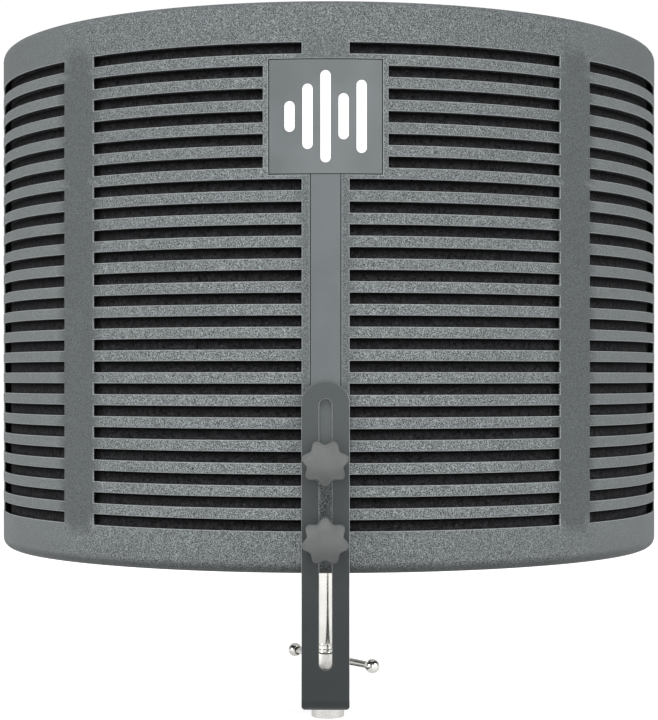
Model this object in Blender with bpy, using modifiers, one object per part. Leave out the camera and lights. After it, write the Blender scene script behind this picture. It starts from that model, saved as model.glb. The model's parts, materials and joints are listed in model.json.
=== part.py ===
"""Microphone isolation shield: a half-round acoustic shield on a slotted bracket with a microphone post.

Frame: metres, +Z up. The origin is the middle of the stand socket's mouth, on the microphone stand's axis.
-Y is the shield's convex back and +Y is the side that the performer sings into.
Round the shield, an angle of 0 degrees is the middle of its back and 90 degrees is its edge at +X.
"""

import math

import bmesh
import bpy
from mathutils import Matrix, Vector

# The gap between two pieces that touch.
GAP = 0.0003

# The shield's half-round body: an outer shell and an inner frame that meet at the parting radius.
SHIELD_RADIUS = 0.200
INNER_RADIUS = 0.1555
PARTING_RADIUS = 0.181
SHIELD_HEIGHT = 0.299
SHIELD_BOTTOM = 0.0948
BACK_Y = -0.120
HALF_SWEEP = 90.0
FACET = 9.0
WALL = 0.003
END_WALL_DEG = 1.0
RIM_FILLET = 0.006
RIM_FILLET_POINTS = 3

# Rows and columns of slots in the shell. Widths are measured along the shell's outer face.
SLOT_ROWS = 22
SLOT_PITCH = 0.01184
SLOT_HEIGHT = 0.0059
STRIP_WIDTH = 0.025
SLOT_LENGTH = 0.125
SLOT_CUTTER_RADII = (0.190, 0.213)
SHORT_ROWS = range(1, 6)
SHORT_SLOT_START = 0.033

# Badge and inlay strip, which lie flush in recesses of the shell.
BADGE_SIZE = 0.0594
BADGE_CENTRE_Z = 0.3329
BADGE_THICKNESS = 0.0010
BADGE_FACETS = 4
EMBLEM_HEIGHTS = (0.016, 0.034, 0.048, 0.024, 0.038)
EMBLEM_BAR_WIDTH = 0.0054
EMBLEM_BAR_PITCH = 0.0094
EMBLEM_WEB_THICKNESS = 0.0005
EMBLEM_WEB_WIDTH = 0.048
EMBLEM_WEB_HEIGHT = 0.052
INLAY_WIDTH = 0.0156
INLAY_BOTTOM = 0.159
INLAY_FACETS = 2

# Layers between the shell and the frame, as (outer radius, inner radius).
REAR_ABSORBER_RADII = (0.1963, 0.1880)
FOIL_RADII = (0.1875, 0.1867)
RIB_RADII = (0.1857, 0.1722)
FRONT_ABSORBER_RADII = (0.1716, 0.1590)
LAYER_EDGE = 0.0125
LAYER_HALF_SWEEP = 81.0
RIB_ANGLES = (-74.0, -44.0, -14.0, 14.0, 44.0, 74.0)
RIB_WIDTH_DEG = 2.4
WINDOW_EDGE = 0.020
WINDOW_HALF_SWEEP = 79.0

# The inner frame is made of two curved rails, up to this angle on both sides, and two upright ends.
RAIL_HALF_SWEEP = 72.0

# Screws that hold the inner frame to the shell.
SCREW_RIM_ANGLES = (-69.0, -23.0, 23.0, 69.0)
SCREW_RIM_INSET = 0.0078
SCREW_END_ANGLE = 87.0
SCREW_HEAD_RADIUS = 0.0029
SCREW_HEAD_HEIGHT = 0.0020
SCREW_SHANK_RADIUS = 0.0016
SCREW_TIP_RADIUS_OUT = 0.1915
SCREW_POINT = 0.002
BOSS_RADIUS = 0.0036

# Mounting block inside the shell, with a brass insert for each clamping knob.
BLOCK_HALF_WIDTH = 0.0115
BLOCK_FRONT_Y = -0.1035
BLOCK_Z = (0.099, 0.169)
KNOB_HEIGHTS = {"lower": 0.1132, "upper": 0.1532}
INSERT_RADIUS = 0.0045
INSERT_Y = (-0.1165, -0.1040)
STUD_BORE_FLOOR = 0.004

# Slotted bracket, bent from flat steel.
BRACKET_WIDTH = 0.025
BRACKET_THICKNESS = 0.003
BRACKET_TOP = 0.1952
BRACKET_END_RADIUS = 0.013
BRACKET_FLANGE_Z = 0.024
BRACKET_FLANGE_END_Y = 0.044
BEND_RADIUS = 0.006
HEIGHT_SLOT_Z = (0.0454, 0.1861)
HEIGHT_SLOT_WIDTH = 0.0066
REACH_SLOT_Y = (-0.0510, 0.0310)
REACH_SLOT_WIDTH = 0.0108

# Clamping knobs on the bracket, with threaded studs and washers.
KNOB_LOBES = 7
KNOB_MEAN_RADIUS = 0.01112
KNOB_LOBE_DEPTH = 0.00133
KNOB_GRIP_THICKNESS = 0.0105
KNOB_HUB_RADIUS = 0.0066
KNOB_HUB_LENGTH = 0.0045
KNOB_BOTTOM_LOBE_DEG = {"lower": 90.0, "upper": 270.0}
KNOB_WASHER_RADIUS = 0.0062
KNOB_WASHER_THICKNESS = 0.0010
STUD_RADIUS = 0.0030

# Stand adapter: socket under the flange, turned post with a clamping collar above it, and a sliding T bar.
SOCKET_RADIUS = 0.0095
SOCKET_TOP = 0.0221
SOCKET_BORE_RADIUS = 0.0076
SOCKET_BORE_DEPTH = 0.0150
POST_STUD_RADIUS = 0.0050
POST_STUD_TIP = 0.0165
CLAMP_WASHER_RADIUS = 0.0125
CLAMP_WASHER_THICKNESS = 0.0012
COLLAR_RADIUS = 0.0110
COLLAR_TOP = 0.0380
POST_RADIUS = 0.0085
POST_SHOULDER_Z = 0.138
POST_TOP = 0.150
MIC_THREAD_RADIUS = 0.0079
T_BAR_Z = 0.0347
T_BAR_RADIUS = 0.0020
T_BAR_DIRECTION_DEG = -55.4
T_BAR_RIGHT = 0.0448
T_BAR_LEFT = 0.0349
T_BAR_BALL_RADIUS = 0.0040
T_BAR_BALL_FLAT = 0.0037

# Facets of round pieces, and the angle from which an edge is shaded sharp.
ROUND = 20
SMALL_ROUND = 14
TINY_ROUND = 8
SHARP_DEG = 35.0

# Size at which the joints' empties are drawn.
CARRIER_SIZE = 0.02

# Values that follow from the driving dimensions.
ARC_CENTRE_Y = BACK_Y + SHIELD_RADIUS
SHIELD_TOP = SHIELD_BOTTOM + SHIELD_HEIGHT
PLATE_BACK_Y = BACK_Y - GAP
PLATE_FRONT_Y = PLATE_BACK_Y - BRACKET_THICKNESS
FLANGE_TOP = BRACKET_FLANGE_Z + BRACKET_THICKNESS
SLOT_MARGIN = (SHIELD_HEIGHT - (SLOT_ROWS - 1) * SLOT_PITCH - SLOT_HEIGHT) / 2

FINISHES = {
    "grained_abs": ((0.075, 0.083, 0.086), 0.55, 0.0),
    "smooth_abs": ((0.085, 0.095, 0.098), 0.40, 0.0),
    "emblem_white": ((0.85, 0.85, 0.85), 0.35, 0.0),
    "felt": ((0.012, 0.012, 0.013), 1.0, 0.0),
    "foil": ((0.80, 0.81, 0.82), 0.30, 1.0),
    "black_steel": ((0.045, 0.050, 0.052), 0.40, 0.3),
    "knob_plastic": ((0.060, 0.065, 0.066), 0.60, 0.0),
    "zinc_steel": ((0.62, 0.62, 0.60), 0.30, 1.0),
    "brass": ((0.72, 0.55, 0.25), 0.35, 1.0),
    "nickel": ((0.80, 0.79, 0.76), 0.18, 1.0),
}


def degrees_along(width):
    """The angle that a width takes along the shell's outer face."""
    return math.degrees(width / SHIELD_RADIUS)


def clear_scene():
    for obj in list(bpy.data.objects):
        bpy.data.objects.remove(obj, do_unlink=True)


def new_collection(name):
    collection = bpy.data.collections.new(name)
    bpy.context.scene.collection.children.link(collection)
    return collection


def material(finish):
    """The Principled material for a finish, made once."""
    made = bpy.data.materials.get(finish)
    if made:
        return made
    colour, roughness, metallic = FINISHES[finish]
    made = bpy.data.materials.new(finish)
    made.use_nodes = True
    shader = made.node_tree.nodes["Principled BSDF"]
    shader.inputs["Base Color"].default_value = (*colour, 1.0)
    shader.inputs["Roughness"].default_value = roughness
    shader.inputs["Metallic"].default_value = metallic
    return made


def part(name, mesh, finish, location=(0, 0, 0), rotation=(0, 0, 0)):
    """Adds a node of the object, shaded smooth between its sharp edges."""
    mesh.shade_smooth()
    mesh.set_sharp_from_angle(angle=math.radians(SHARP_DEG))
    obj = bpy.data.objects.new(name, mesh)
    mesh.materials.append(material(finish))
    PARTS.objects.link(obj)
    obj.location = location
    obj.rotation_euler = rotation
    return obj


def helper(name, mesh, location=(0, 0, 0), rotation=(0, 0, 0)):
    """Adds a shape that only cuts or joins, which isn't a node."""
    obj = bpy.data.objects.new(name, mesh)
    HELPERS.objects.link(obj)
    obj.location = location
    obj.rotation_euler = rotation
    obj.hide_render = True
    obj.display_type = "WIRE"
    return obj


def boolean(obj, other, operation):
    """Cuts or joins with another shape, which then rides on the object."""
    modifier = obj.modifiers.new(f"{operation.lower()}_{other.name}", "BOOLEAN")
    modifier.operation = operation
    modifier.solver = "EXACT"
    modifier.object = other
    if not other.parent:
        other.parent = obj
        other.matrix_parent_inverse = obj.matrix_basis.inverted()


def cut(obj, other):
    boolean(obj, other, "DIFFERENCE")


def join(obj, other):
    boolean(obj, other, "UNION")


def mesh_from(bm, name):
    """Turns a bmesh into a mesh with its faces pointing out."""
    bmesh.ops.recalc_face_normals(bm, faces=bm.faces)
    mesh = bpy.data.meshes.new(name)
    bm.to_mesh(mesh)
    bm.free()
    return mesh


def evaluated_mesh(source):
    """The mesh of an object with its modifiers or its curve worked out. The object itself is removed."""
    bpy.context.scene.collection.objects.link(source)
    graph = bpy.context.evaluated_depsgraph_get()
    mesh = bpy.data.meshes.new_from_object(source.evaluated_get(graph))
    bpy.data.objects.remove(source, do_unlink=True)
    return mesh


def shield_point(radius, degrees, z):
    turn = math.radians(degrees)
    return Vector((radius * math.sin(turn), ARC_CENTRE_Y - radius * math.cos(turn), z))


def add_sweep(bm, profile, start, end, facets):
    """Sweeps a closed profile of (radius, height) points round the shield, and closes both ends."""
    corners = [bm.verts.new(shield_point(radius, start, z)) for radius, z in profile]
    edges = [bm.edges.new(pair) for pair in zip(corners, corners[1:] + corners[:1])]
    bmesh.ops.spin(
        bm,
        geom=corners + edges,
        cent=(0, ARC_CENTRE_Y, 0),
        axis=(0, 0, 1),
        angle=math.radians(end - start),
        steps=facets,
    )
    rims = [edge for edge in bm.edges if edge.is_boundary]
    bmesh.ops.holes_fill(bm, edges=rims, sides=0)


def rectangle(inner, outer, bottom, top):
    return [(inner, bottom), (outer, bottom), (outer, top), (inner, top)]


def quarter(centre, radius, start_deg, points):
    """Points of a quarter circle that runs on from start_deg."""
    step = 90.0 / points
    angles = [math.radians(start_deg + step * i) for i in range(points + 1)]
    return [(centre[0] + radius * math.cos(a), centre[1] + radius * math.sin(a)) for a in angles]


def filleted(inner, outer, bottom, top, round_side):
    """A rectangle whose two corners on its outer or inner side are rounded as the rims are."""
    fillet = RIM_FILLET
    if round_side == "outer":
        low = quarter((outer - fillet, bottom + fillet), fillet, 270, RIM_FILLET_POINTS)
        high = quarter((outer - fillet, top - fillet), fillet, 0, RIM_FILLET_POINTS)
        return [(inner, bottom), *low, *high, (inner, top)]
    high = quarter((inner + fillet, top - fillet), fillet, 90, RIM_FILLET_POINTS)
    low = quarter((inner + fillet, bottom + fillet), fillet, 180, RIM_FILLET_POINTS)
    return [(outer, bottom), (outer, top), *high, *low]


def sweep_mesh(name, profile, half_sweep, facets):
    bm = bmesh.new()
    add_sweep(bm, profile, -half_sweep, half_sweep, facets)
    return mesh_from(bm, name)


def facets_for(half_sweep):
    return round(2 * half_sweep / FACET)


def box_mesh(name, low, high):
    bm = bmesh.new()
    bmesh.ops.create_cube(bm, size=1)
    centre = (Vector(low) + Vector(high)) / 2
    size = Vector(high) - Vector(low)
    matrix = Matrix.Translation(centre) @ Matrix.Diagonal((*size, 1))
    bmesh.ops.transform(bm, matrix=matrix, verts=bm.verts)
    return mesh_from(bm, name)


def add_rod(bm, start, end, radius, sides):
    """Adds a cylinder between two points."""
    start = Vector(start)
    along = Vector(end) - start
    turn = along.to_track_quat("Z", "Y").to_matrix().to_4x4()
    bmesh.ops.create_cone(
        bm,
        cap_ends=True,
        segments=sides,
        radius1=radius,
        radius2=radius,
        depth=along.length,
        matrix=Matrix.Translation(start + along / 2) @ turn,
    )


def rod_mesh(name, start, end, radius, sides=SMALL_ROUND):
    bm = bmesh.new()
    add_rod(bm, start, end, radius, sides)
    return mesh_from(bm, name)


def turned(name, profile, sides, finish, closed=False, location=(0, 0, 0), rotation=(0, 0, 0)):
    """A piece turned about its own Z. Its profile of (radius, height) points runs down the outer side."""
    bm = bmesh.new()
    points = [bm.verts.new((radius, 0, z)) for radius, z in profile]
    for pair in zip(points, points[1:]):
        bm.edges.new(pair)
    if closed:
        bm.edges.new((points[-1], points[0]))
    mesh = bpy.data.meshes.new(name)
    bm.to_mesh(mesh)
    bm.free()
    source = bpy.data.objects.new(name, mesh)
    screw = source.modifiers.new("turn", "SCREW")
    screw.angle = 2 * math.pi
    screw.steps = sides
    screw.render_steps = sides
    screw.use_merge_vertices = True
    screw.merge_threshold = 0.00001
    return part(name, evaluated_mesh(source), finish, location, rotation)


def washer(name, radius, bore, thickness, finish, location=(0, 0, 0), rotation=(0, 0, 0)):
    """A flat ring that stands on its own XY plane."""
    profile = [(radius, thickness), (radius, 0), (bore, 0), (bore, thickness)]
    return turned(name, profile, SMALL_ROUND, finish, True, location, rotation)


def prism_mesh(name, outline, thickness):
    """A flat outline in XY, extruded evenly on both sides of its plane."""
    curve = bpy.data.curves.new(name, "CURVE")
    curve.dimensions = "2D"
    curve.fill_mode = "BOTH"
    curve.extrude = thickness / 2
    spline = curve.splines.new("POLY")
    spline.points.add(len(outline) - 1)
    for point, (x, y) in zip(spline.points, outline):
        point.co = (x, y, 0, 1)
    spline.use_cyclic_u = True
    mesh = evaluated_mesh(bpy.data.objects.new(name, curve))
    bpy.data.curves.remove(curve)
    bm = bmesh.new()
    bm.from_mesh(mesh)
    bmesh.ops.remove_doubles(bm, verts=bm.verts, dist=1e-6)
    bpy.data.meshes.remove(mesh)
    return mesh_from(bm, name)


def slot_outline(low, high, width):
    """A slot with round ends along Y, between two ends of its length."""
    radius = width / 2
    upper = quarter((0, high - radius), radius, 0, 4) + quarter((0, high - radius), radius, 90, 4)[1:]
    lower = quarter((0, low + radius), radius, 180, 4) + quarter((0, low + radius), radius, 270, 4)[1:]
    return upper + lower


def row_top(row):
    return SHIELD_TOP - SLOT_MARGIN - row * SLOT_PITCH


def slot_spans(row):
    """The angles between which each slot of a row is open, for the four columns."""
    half_strip = degrees_along(STRIP_WIDTH / 2)
    long_slot = degrees_along(SLOT_LENGTH)
    inner = degrees_along(SHORT_SLOT_START) if row in SHORT_ROWS else half_strip
    middle = (inner, half_strip + long_slot)
    side_start = half_strip + long_slot + degrees_along(STRIP_WIDTH)
    side = (side_start, side_start + long_slot)
    return [middle, side, (-middle[1], -middle[0]), (-side[1], -side[0])]


def frame_screws():
    """(angle, height) of the screws between the frame and the shell, for each piece of the frame."""
    low = SHIELD_BOTTOM + SCREW_RIM_INSET
    high = SHIELD_TOP - SCREW_RIM_INSET
    middle = SHIELD_BOTTOM + SHIELD_HEIGHT / 2
    return {
        "frame_rail_bottom": [(angle, low) for angle in SCREW_RIM_ANGLES],
        "frame_rail_top": [(angle, high) for angle in SCREW_RIM_ANGLES],
        "frame_end_left": [(-SCREW_END_ANGLE, middle)],
        "frame_end_right": [(SCREW_END_ANGLE, middle)],
    }


def all_screws():
    return [place for places in frame_screws().values() for place in places]


def rods_at(places, name, start_radius, end_radius, radius):
    """Radial cylinders at some screws, as one helper."""
    bm = bmesh.new()
    for angle, z in places:
        start = shield_point(start_radius, angle, z)
        end = shield_point(end_radius, angle, z)
        add_rod(bm, start, end, radius, TINY_ROUND)
    return helper(name, mesh_from(bm, name))


def slot_cutter():
    bm = bmesh.new()
    for row in range(SLOT_ROWS):
        profile = rectangle(*SLOT_CUTTER_RADII, row_top(row) - SLOT_HEIGHT, row_top(row))
        for start, end in slot_spans(row):
            add_sweep(bm, profile, start, end, 1)
    return helper("slot_cutter", mesh_from(bm, "slot_cutter"))


def recess_cutter(name, width, bottom, top, thickness, facets):
    """The recess for a flush plate of this thickness in the shell's outer face."""
    floor = SHIELD_RADIUS - thickness - GAP
    profile = rectangle(floor, SHIELD_RADIUS + WALL, bottom, top)
    return helper(name, sweep_mesh(name, profile, degrees_along(width) / 2, facets))


def make_outer_shell():
    """The slotted back half of the body, open on its inner side."""
    body = filleted(PARTING_RADIUS, SHIELD_RADIUS, SHIELD_BOTTOM, SHIELD_TOP, "outer")
    facets = facets_for(HALF_SWEEP)
    shell = part("outer_shell", sweep_mesh("outer_shell", body, HALF_SWEEP, facets), "grained_abs")
    hollow = rectangle(
        PARTING_RADIUS - WALL, SHIELD_RADIUS - WALL, SHIELD_BOTTOM + WALL, SHIELD_TOP - WALL
    )
    hollow_sweep = HALF_SWEEP - END_WALL_DEG
    cut(shell, helper("shell_hollow", sweep_mesh("shell_hollow", hollow, hollow_sweep, facets)))
    screws = all_screws()
    join(shell, rods_at(screws, "shell_bosses", SHIELD_RADIUS - WALL / 2, PARTING_RADIUS, BOSS_RADIUS))
    block = box_mesh(
        "shell_block",
        (-BLOCK_HALF_WIDTH, BACK_Y + WALL / 2, BLOCK_Z[0]),
        (BLOCK_HALF_WIDTH, BLOCK_FRONT_Y, BLOCK_Z[1]),
    )
    join(shell, helper("shell_block", block))
    cut(shell, slot_cutter())
    cut(
        shell,
        recess_cutter(
            "badge_recess",
            BADGE_SIZE + 4 * GAP,
            BADGE_CENTRE_Z - BADGE_SIZE / 2 - 2 * GAP,
            BADGE_CENTRE_Z + BADGE_SIZE / 2 + 2 * GAP,
            BADGE_THICKNESS,
            BADGE_FACETS,
        ),
    )
    cut(
        shell,
        recess_cutter(
            "emblem_recess",
            EMBLEM_WEB_WIDTH + 2 * GAP,
            BADGE_CENTRE_Z - EMBLEM_WEB_HEIGHT / 2 - GAP,
            BADGE_CENTRE_Z + EMBLEM_WEB_HEIGHT / 2 + GAP,
            BADGE_THICKNESS + GAP + EMBLEM_WEB_THICKNESS,
            BADGE_FACETS,
        ),
    )
    cut(
        shell,
        recess_cutter(
            "inlay_recess",
            INLAY_WIDTH + 2 * GAP,
            INLAY_BOTTOM - GAP,
            BADGE_CENTRE_Z - BADGE_SIZE / 2 + GAP,
            BADGE_THICKNESS,
            INLAY_FACETS,
        ),
    )
    bores = bmesh.new()
    bore_end = BLOCK_FRONT_Y - STUD_BORE_FLOOR
    for z in KNOB_HEIGHTS.values():
        add_rod(bores, (0, BACK_Y - WALL, z), (0, bore_end, z), STUD_RADIUS + 2 * GAP, SMALL_ROUND)
    cut(shell, helper("stud_bores", mesh_from(bores, "stud_bores")))
    seats = bmesh.new()
    seat_start = INSERT_Y[0] - GAP
    seat_end = BLOCK_FRONT_Y + WALL
    for z in KNOB_HEIGHTS.values():
        add_rod(seats, (0, seat_start, z), (0, seat_end, z), INSERT_RADIUS + GAP, SMALL_ROUND)
    cut(shell, helper("insert_seats", mesh_from(seats, "insert_seats")))
    hole_end = SCREW_TIP_RADIUS_OUT + 2 * GAP
    hole_radius = SCREW_SHANK_RADIUS + GAP
    cut(shell, rods_at(screws, "shell_screw_holes", hole_end, PARTING_RADIUS - WALL, hole_radius))


def fit_for_screws(piece):
    """Gives a piece of the frame its screw bosses, holes and seats for the heads."""
    places = frame_screws()[piece.name]
    outer = PARTING_RADIUS - GAP
    inside = INNER_RADIUS - WALL
    seat = INNER_RADIUS + SCREW_HEAD_HEIGHT
    join(piece, rods_at(places, f"{piece.name}_bosses", INNER_RADIUS + WALL / 2, outer, BOSS_RADIUS))
    cut(piece, rods_at(places, f"{piece.name}_holes", inside, outer + WALL, SCREW_SHANK_RADIUS + GAP))
    cut(piece, rods_at(places, f"{piece.name}_seats", inside, seat, SCREW_HEAD_RADIUS + GAP))


def make_frame_rail(name, edge, direction):
    """A curved rail of the frame: a rounded rim and a border of the window, down from its edge or up."""
    outer = PARTING_RADIUS - GAP
    centre = (INNER_RADIUS + RIM_FILLET, -RIM_FILLET)
    section = [
        (outer, 0),
        *quarter(centre, RIM_FILLET, 90, RIM_FILLET_POINTS),
        (INNER_RADIUS, -WINDOW_EDGE),
        (INNER_RADIUS + WALL, -WINDOW_EDGE),
        (INNER_RADIUS + WALL, -WALL),
        (outer, -WALL),
    ]
    profile = [(radius, edge + direction * depth) for radius, depth in section]
    mesh = sweep_mesh(name, profile, RAIL_HALF_SWEEP, facets_for(RAIL_HALF_SWEEP))
    fit_for_screws(part(name, mesh, "grained_abs"))


def end_sweep(profile, side, start, end, facets):
    """A profile swept between two angles on the right side, or on the left side as its mirror image."""
    bm = bmesh.new()
    add_sweep(bm, profile, *sorted((side * start, side * end)), facets)
    return mesh_from(bm, "end_sweep")


def make_frame_end(name, side):
    """An upright end of the frame: the side border of the window and the end wall."""
    outer = PARTING_RADIUS - GAP
    start = RAIL_HALF_SWEEP + math.degrees(GAP / INNER_RADIUS)
    open_start = start - FACET
    body = filleted(INNER_RADIUS, outer, SHIELD_BOTTOM, SHIELD_TOP, "inner")
    end = part(name, end_sweep(body, side, start, HALF_SWEEP, 2), "grained_abs")
    hollow = rectangle(INNER_RADIUS + WALL, outer + WALL, SHIELD_BOTTOM + WALL, SHIELD_TOP - WALL)
    inside = end_sweep(hollow, side, open_start, HALF_SWEEP - END_WALL_DEG, 3)
    cut(end, helper(f"{name}_hollow", inside))
    low = SHIELD_BOTTOM + WINDOW_EDGE
    high = SHIELD_TOP - WINDOW_EDGE
    window = rectangle(INNER_RADIUS - WALL, INNER_RADIUS + 2 * WALL, low, high)
    opening = end_sweep(window, side, open_start, WINDOW_HALF_SWEEP, 2)
    cut(end, helper(f"{name}_window", opening))
    fit_for_screws(end)


def make_inner_frame():
    """The front half of the body: a border round the window that shows the front absorber."""
    make_frame_rail("frame_rail_bottom", SHIELD_BOTTOM, -1)
    make_frame_rail("frame_rail_top", SHIELD_TOP, 1)
    make_frame_end("frame_end_left", -1)
    make_frame_end("frame_end_right", 1)


def make_layer(name, radii, finish):
    """One curved layer between the shell and the frame."""
    profile = rectangle(radii[1], radii[0], SHIELD_BOTTOM + LAYER_EDGE, SHIELD_TOP - LAYER_EDGE)
    mesh = sweep_mesh(name, profile, LAYER_HALF_SWEEP, facets_for(LAYER_HALF_SWEEP))
    return part(name, mesh, finish)


def make_layers():
    rear = make_layer("rear_absorber", REAR_ABSORBER_RADII, "felt")
    foil = make_layer("foil_sheet", FOIL_RADII, "foil")
    make_layer("front_absorber", FRONT_ABSORBER_RADII, "felt")
    notch = helper(
        "block_notch",
        box_mesh(
            "block_notch",
            (-BLOCK_HALF_WIDTH - 2 * GAP, BACK_Y - WALL, SHIELD_BOTTOM - WALL),
            (BLOCK_HALF_WIDTH + 2 * GAP, BLOCK_FRONT_Y + 0.002, BLOCK_Z[1] + 2 * GAP),
        ),
    )
    cut(rear, notch)
    cut(foil, notch)
    profile = rectangle(RIB_RADII[1], RIB_RADII[0], SHIELD_BOTTOM + LAYER_EDGE, SHIELD_TOP - LAYER_EDGE)
    for number, angle in enumerate(RIB_ANGLES, 1):
        bm = bmesh.new()
        add_sweep(bm, profile, angle - RIB_WIDTH_DEG / 2, angle + RIB_WIDTH_DEG / 2, 1)
        name = f"spacer_rib_{number}"
        part(name, mesh_from(bm, name), "smooth_abs")


def make_frame_screws():
    """The screws that join the inner frame to the shell. Each stands on the shield's radius."""
    head_face = INNER_RADIUS + GAP
    head_back = INNER_RADIUS + SCREW_HEAD_HEIGHT - GAP
    length = SCREW_TIP_RADIUS_OUT - head_face
    profile = [
        (0, length),
        (SCREW_SHANK_RADIUS, length - SCREW_POINT),
        (SCREW_SHANK_RADIUS, head_back - head_face),
        (SCREW_HEAD_RADIUS, head_back - head_face),
        (SCREW_HEAD_RADIUS, 0),
        (0, 0),
    ]
    for number, (angle, z) in enumerate(all_screws(), 1):
        outward = shield_point(1, angle, 0) - shield_point(0, angle, 0)
        turn = outward.to_track_quat("Z", "Y").to_euler()
        turned(
            f"frame_screw_{number}",
            profile,
            TINY_ROUND,
            "zinc_steel",
            False,
            shield_point(head_face, angle, z),
            turn,
        )


def emblem_bars():
    """(start angle, end angle, bottom, top) of each bar of the level-meter emblem."""
    first = -EMBLEM_BAR_PITCH * (len(EMBLEM_HEIGHTS) - 1) / 2
    for number, height in enumerate(EMBLEM_HEIGHTS):
        middle = first + number * EMBLEM_BAR_PITCH
        yield (
            degrees_along(middle - EMBLEM_BAR_WIDTH / 2),
            degrees_along(middle + EMBLEM_BAR_WIDTH / 2),
            BADGE_CENTRE_Z - height / 2,
            BADGE_CENTRE_Z + height / 2,
        )


def make_badge():
    """The square badge plate, the emblem whose bars stand up through it, and the inlay strip below it."""
    plate_floor = SHIELD_RADIUS - BADGE_THICKNESS
    profile = rectangle(
        plate_floor, SHIELD_RADIUS, BADGE_CENTRE_Z - BADGE_SIZE / 2, BADGE_CENTRE_Z + BADGE_SIZE / 2
    )
    plate = sweep_mesh("badge_plate", profile, degrees_along(BADGE_SIZE) / 2, BADGE_FACETS)
    badge = part("badge_plate", plate, "smooth_abs")
    web_face = plate_floor - GAP
    web_back = web_face - EMBLEM_WEB_THICKNESS
    web = rectangle(
        web_back, web_face, BADGE_CENTRE_Z - EMBLEM_WEB_HEIGHT / 2, BADGE_CENTRE_Z + EMBLEM_WEB_HEIGHT / 2
    )
    web_sweep = sweep_mesh("badge_emblem", web, degrees_along(EMBLEM_WEB_WIDTH) / 2, BADGE_FACETS)
    emblem = part("badge_emblem", web_sweep, "emblem_white")
    openings = bmesh.new()
    bars = bmesh.new()
    margin = degrees_along(GAP)
    for start, end, bottom, top in emblem_bars():
        opening = rectangle(plate_floor - WALL, SHIELD_RADIUS + WALL, bottom - GAP, top + GAP)
        add_sweep(openings, opening, start - margin, end + margin, 1)
        bar = rectangle(web_back + GAP, SHIELD_RADIUS + GAP, bottom, top)
        add_sweep(bars, bar, start, end, 1)
    cut(badge, helper("emblem_openings", mesh_from(openings, "emblem_openings")))
    join(emblem, helper("emblem_bars", mesh_from(bars, "emblem_bars")))
    strip = rectangle(plate_floor, SHIELD_RADIUS, INLAY_BOTTOM, BADGE_CENTRE_Z - BADGE_SIZE / 2 - GAP)
    inlay = sweep_mesh("inlay_strip", strip, degrees_along(INLAY_WIDTH) / 2, INLAY_FACETS)
    part("inlay_strip", inlay, "smooth_abs")


def make_bracket():
    """An L of flat steel, with the height slot in its upright and the reach slot in its flange."""
    inner_radius = BEND_RADIUS - BRACKET_THICKNESS
    bend_centre = (PLATE_FRONT_Y + BEND_RADIUS, BRACKET_FLANGE_Z + BEND_RADIUS)
    outer_bend = quarter(bend_centre, BEND_RADIUS, 180, 5)
    inner_bend = quarter(bend_centre, inner_radius, 180, 5)
    outline = [
        (PLATE_FRONT_Y, BRACKET_TOP),
        *outer_bend,
        (BRACKET_FLANGE_END_Y, BRACKET_FLANGE_Z),
        (BRACKET_FLANGE_END_Y, FLANGE_TOP),
        *reversed(inner_bend),
        (PLATE_BACK_Y, BRACKET_TOP),
    ]
    upright = (math.pi / 2, 0, math.pi / 2)
    mesh = prism_mesh("bracket", outline, BRACKET_WIDTH)
    mesh.transform(Matrix.Rotation(upright[2], 4, "Z") @ Matrix.Rotation(upright[0], 4, "X"))
    bracket = part("bracket", mesh, "black_steel")
    half = BRACKET_WIDTH / 2
    end_centre = BRACKET_TOP - BRACKET_END_RADIUS
    shoulder = math.degrees(math.acos(half / BRACKET_END_RADIUS))
    steps = 12
    arc = []
    for step in range(steps + 1):
        turn = math.radians(shoulder + (180 - 2 * shoulder) * step / steps)
        rise = BRACKET_END_RADIUS * math.sin(turn)
        arc.append((BRACKET_END_RADIUS * math.cos(turn), end_centre + rise))
    beyond = BRACKET_TOP + WALL
    side = half + WALL
    end_outline = [
        (side, arc[0][1] - GAP),
        *arc,
        (-side, arc[-1][1] - GAP),
        (-side, beyond),
        (side, beyond),
    ]
    lying = (math.pi / 2, 0, 0)
    middle = (0, (PLATE_FRONT_Y + PLATE_BACK_Y) / 2, 0)
    cutters = {
        "bracket_end": (end_outline, middle, lying),
        "height_slot": (slot_outline(*HEIGHT_SLOT_Z, HEIGHT_SLOT_WIDTH), middle, lying),
        "reach_slot": (
            slot_outline(*REACH_SLOT_Y, REACH_SLOT_WIDTH),
            (0, 0, BRACKET_FLANGE_Z + BRACKET_THICKNESS / 2),
            (0, 0, 0),
        ),
    }
    for name, (shape, location, rotation) in cutters.items():
        cutter = prism_mesh(name, shape, 3 * BRACKET_THICKNESS)
        cut(bracket, helper(name, cutter, location, rotation))


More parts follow.
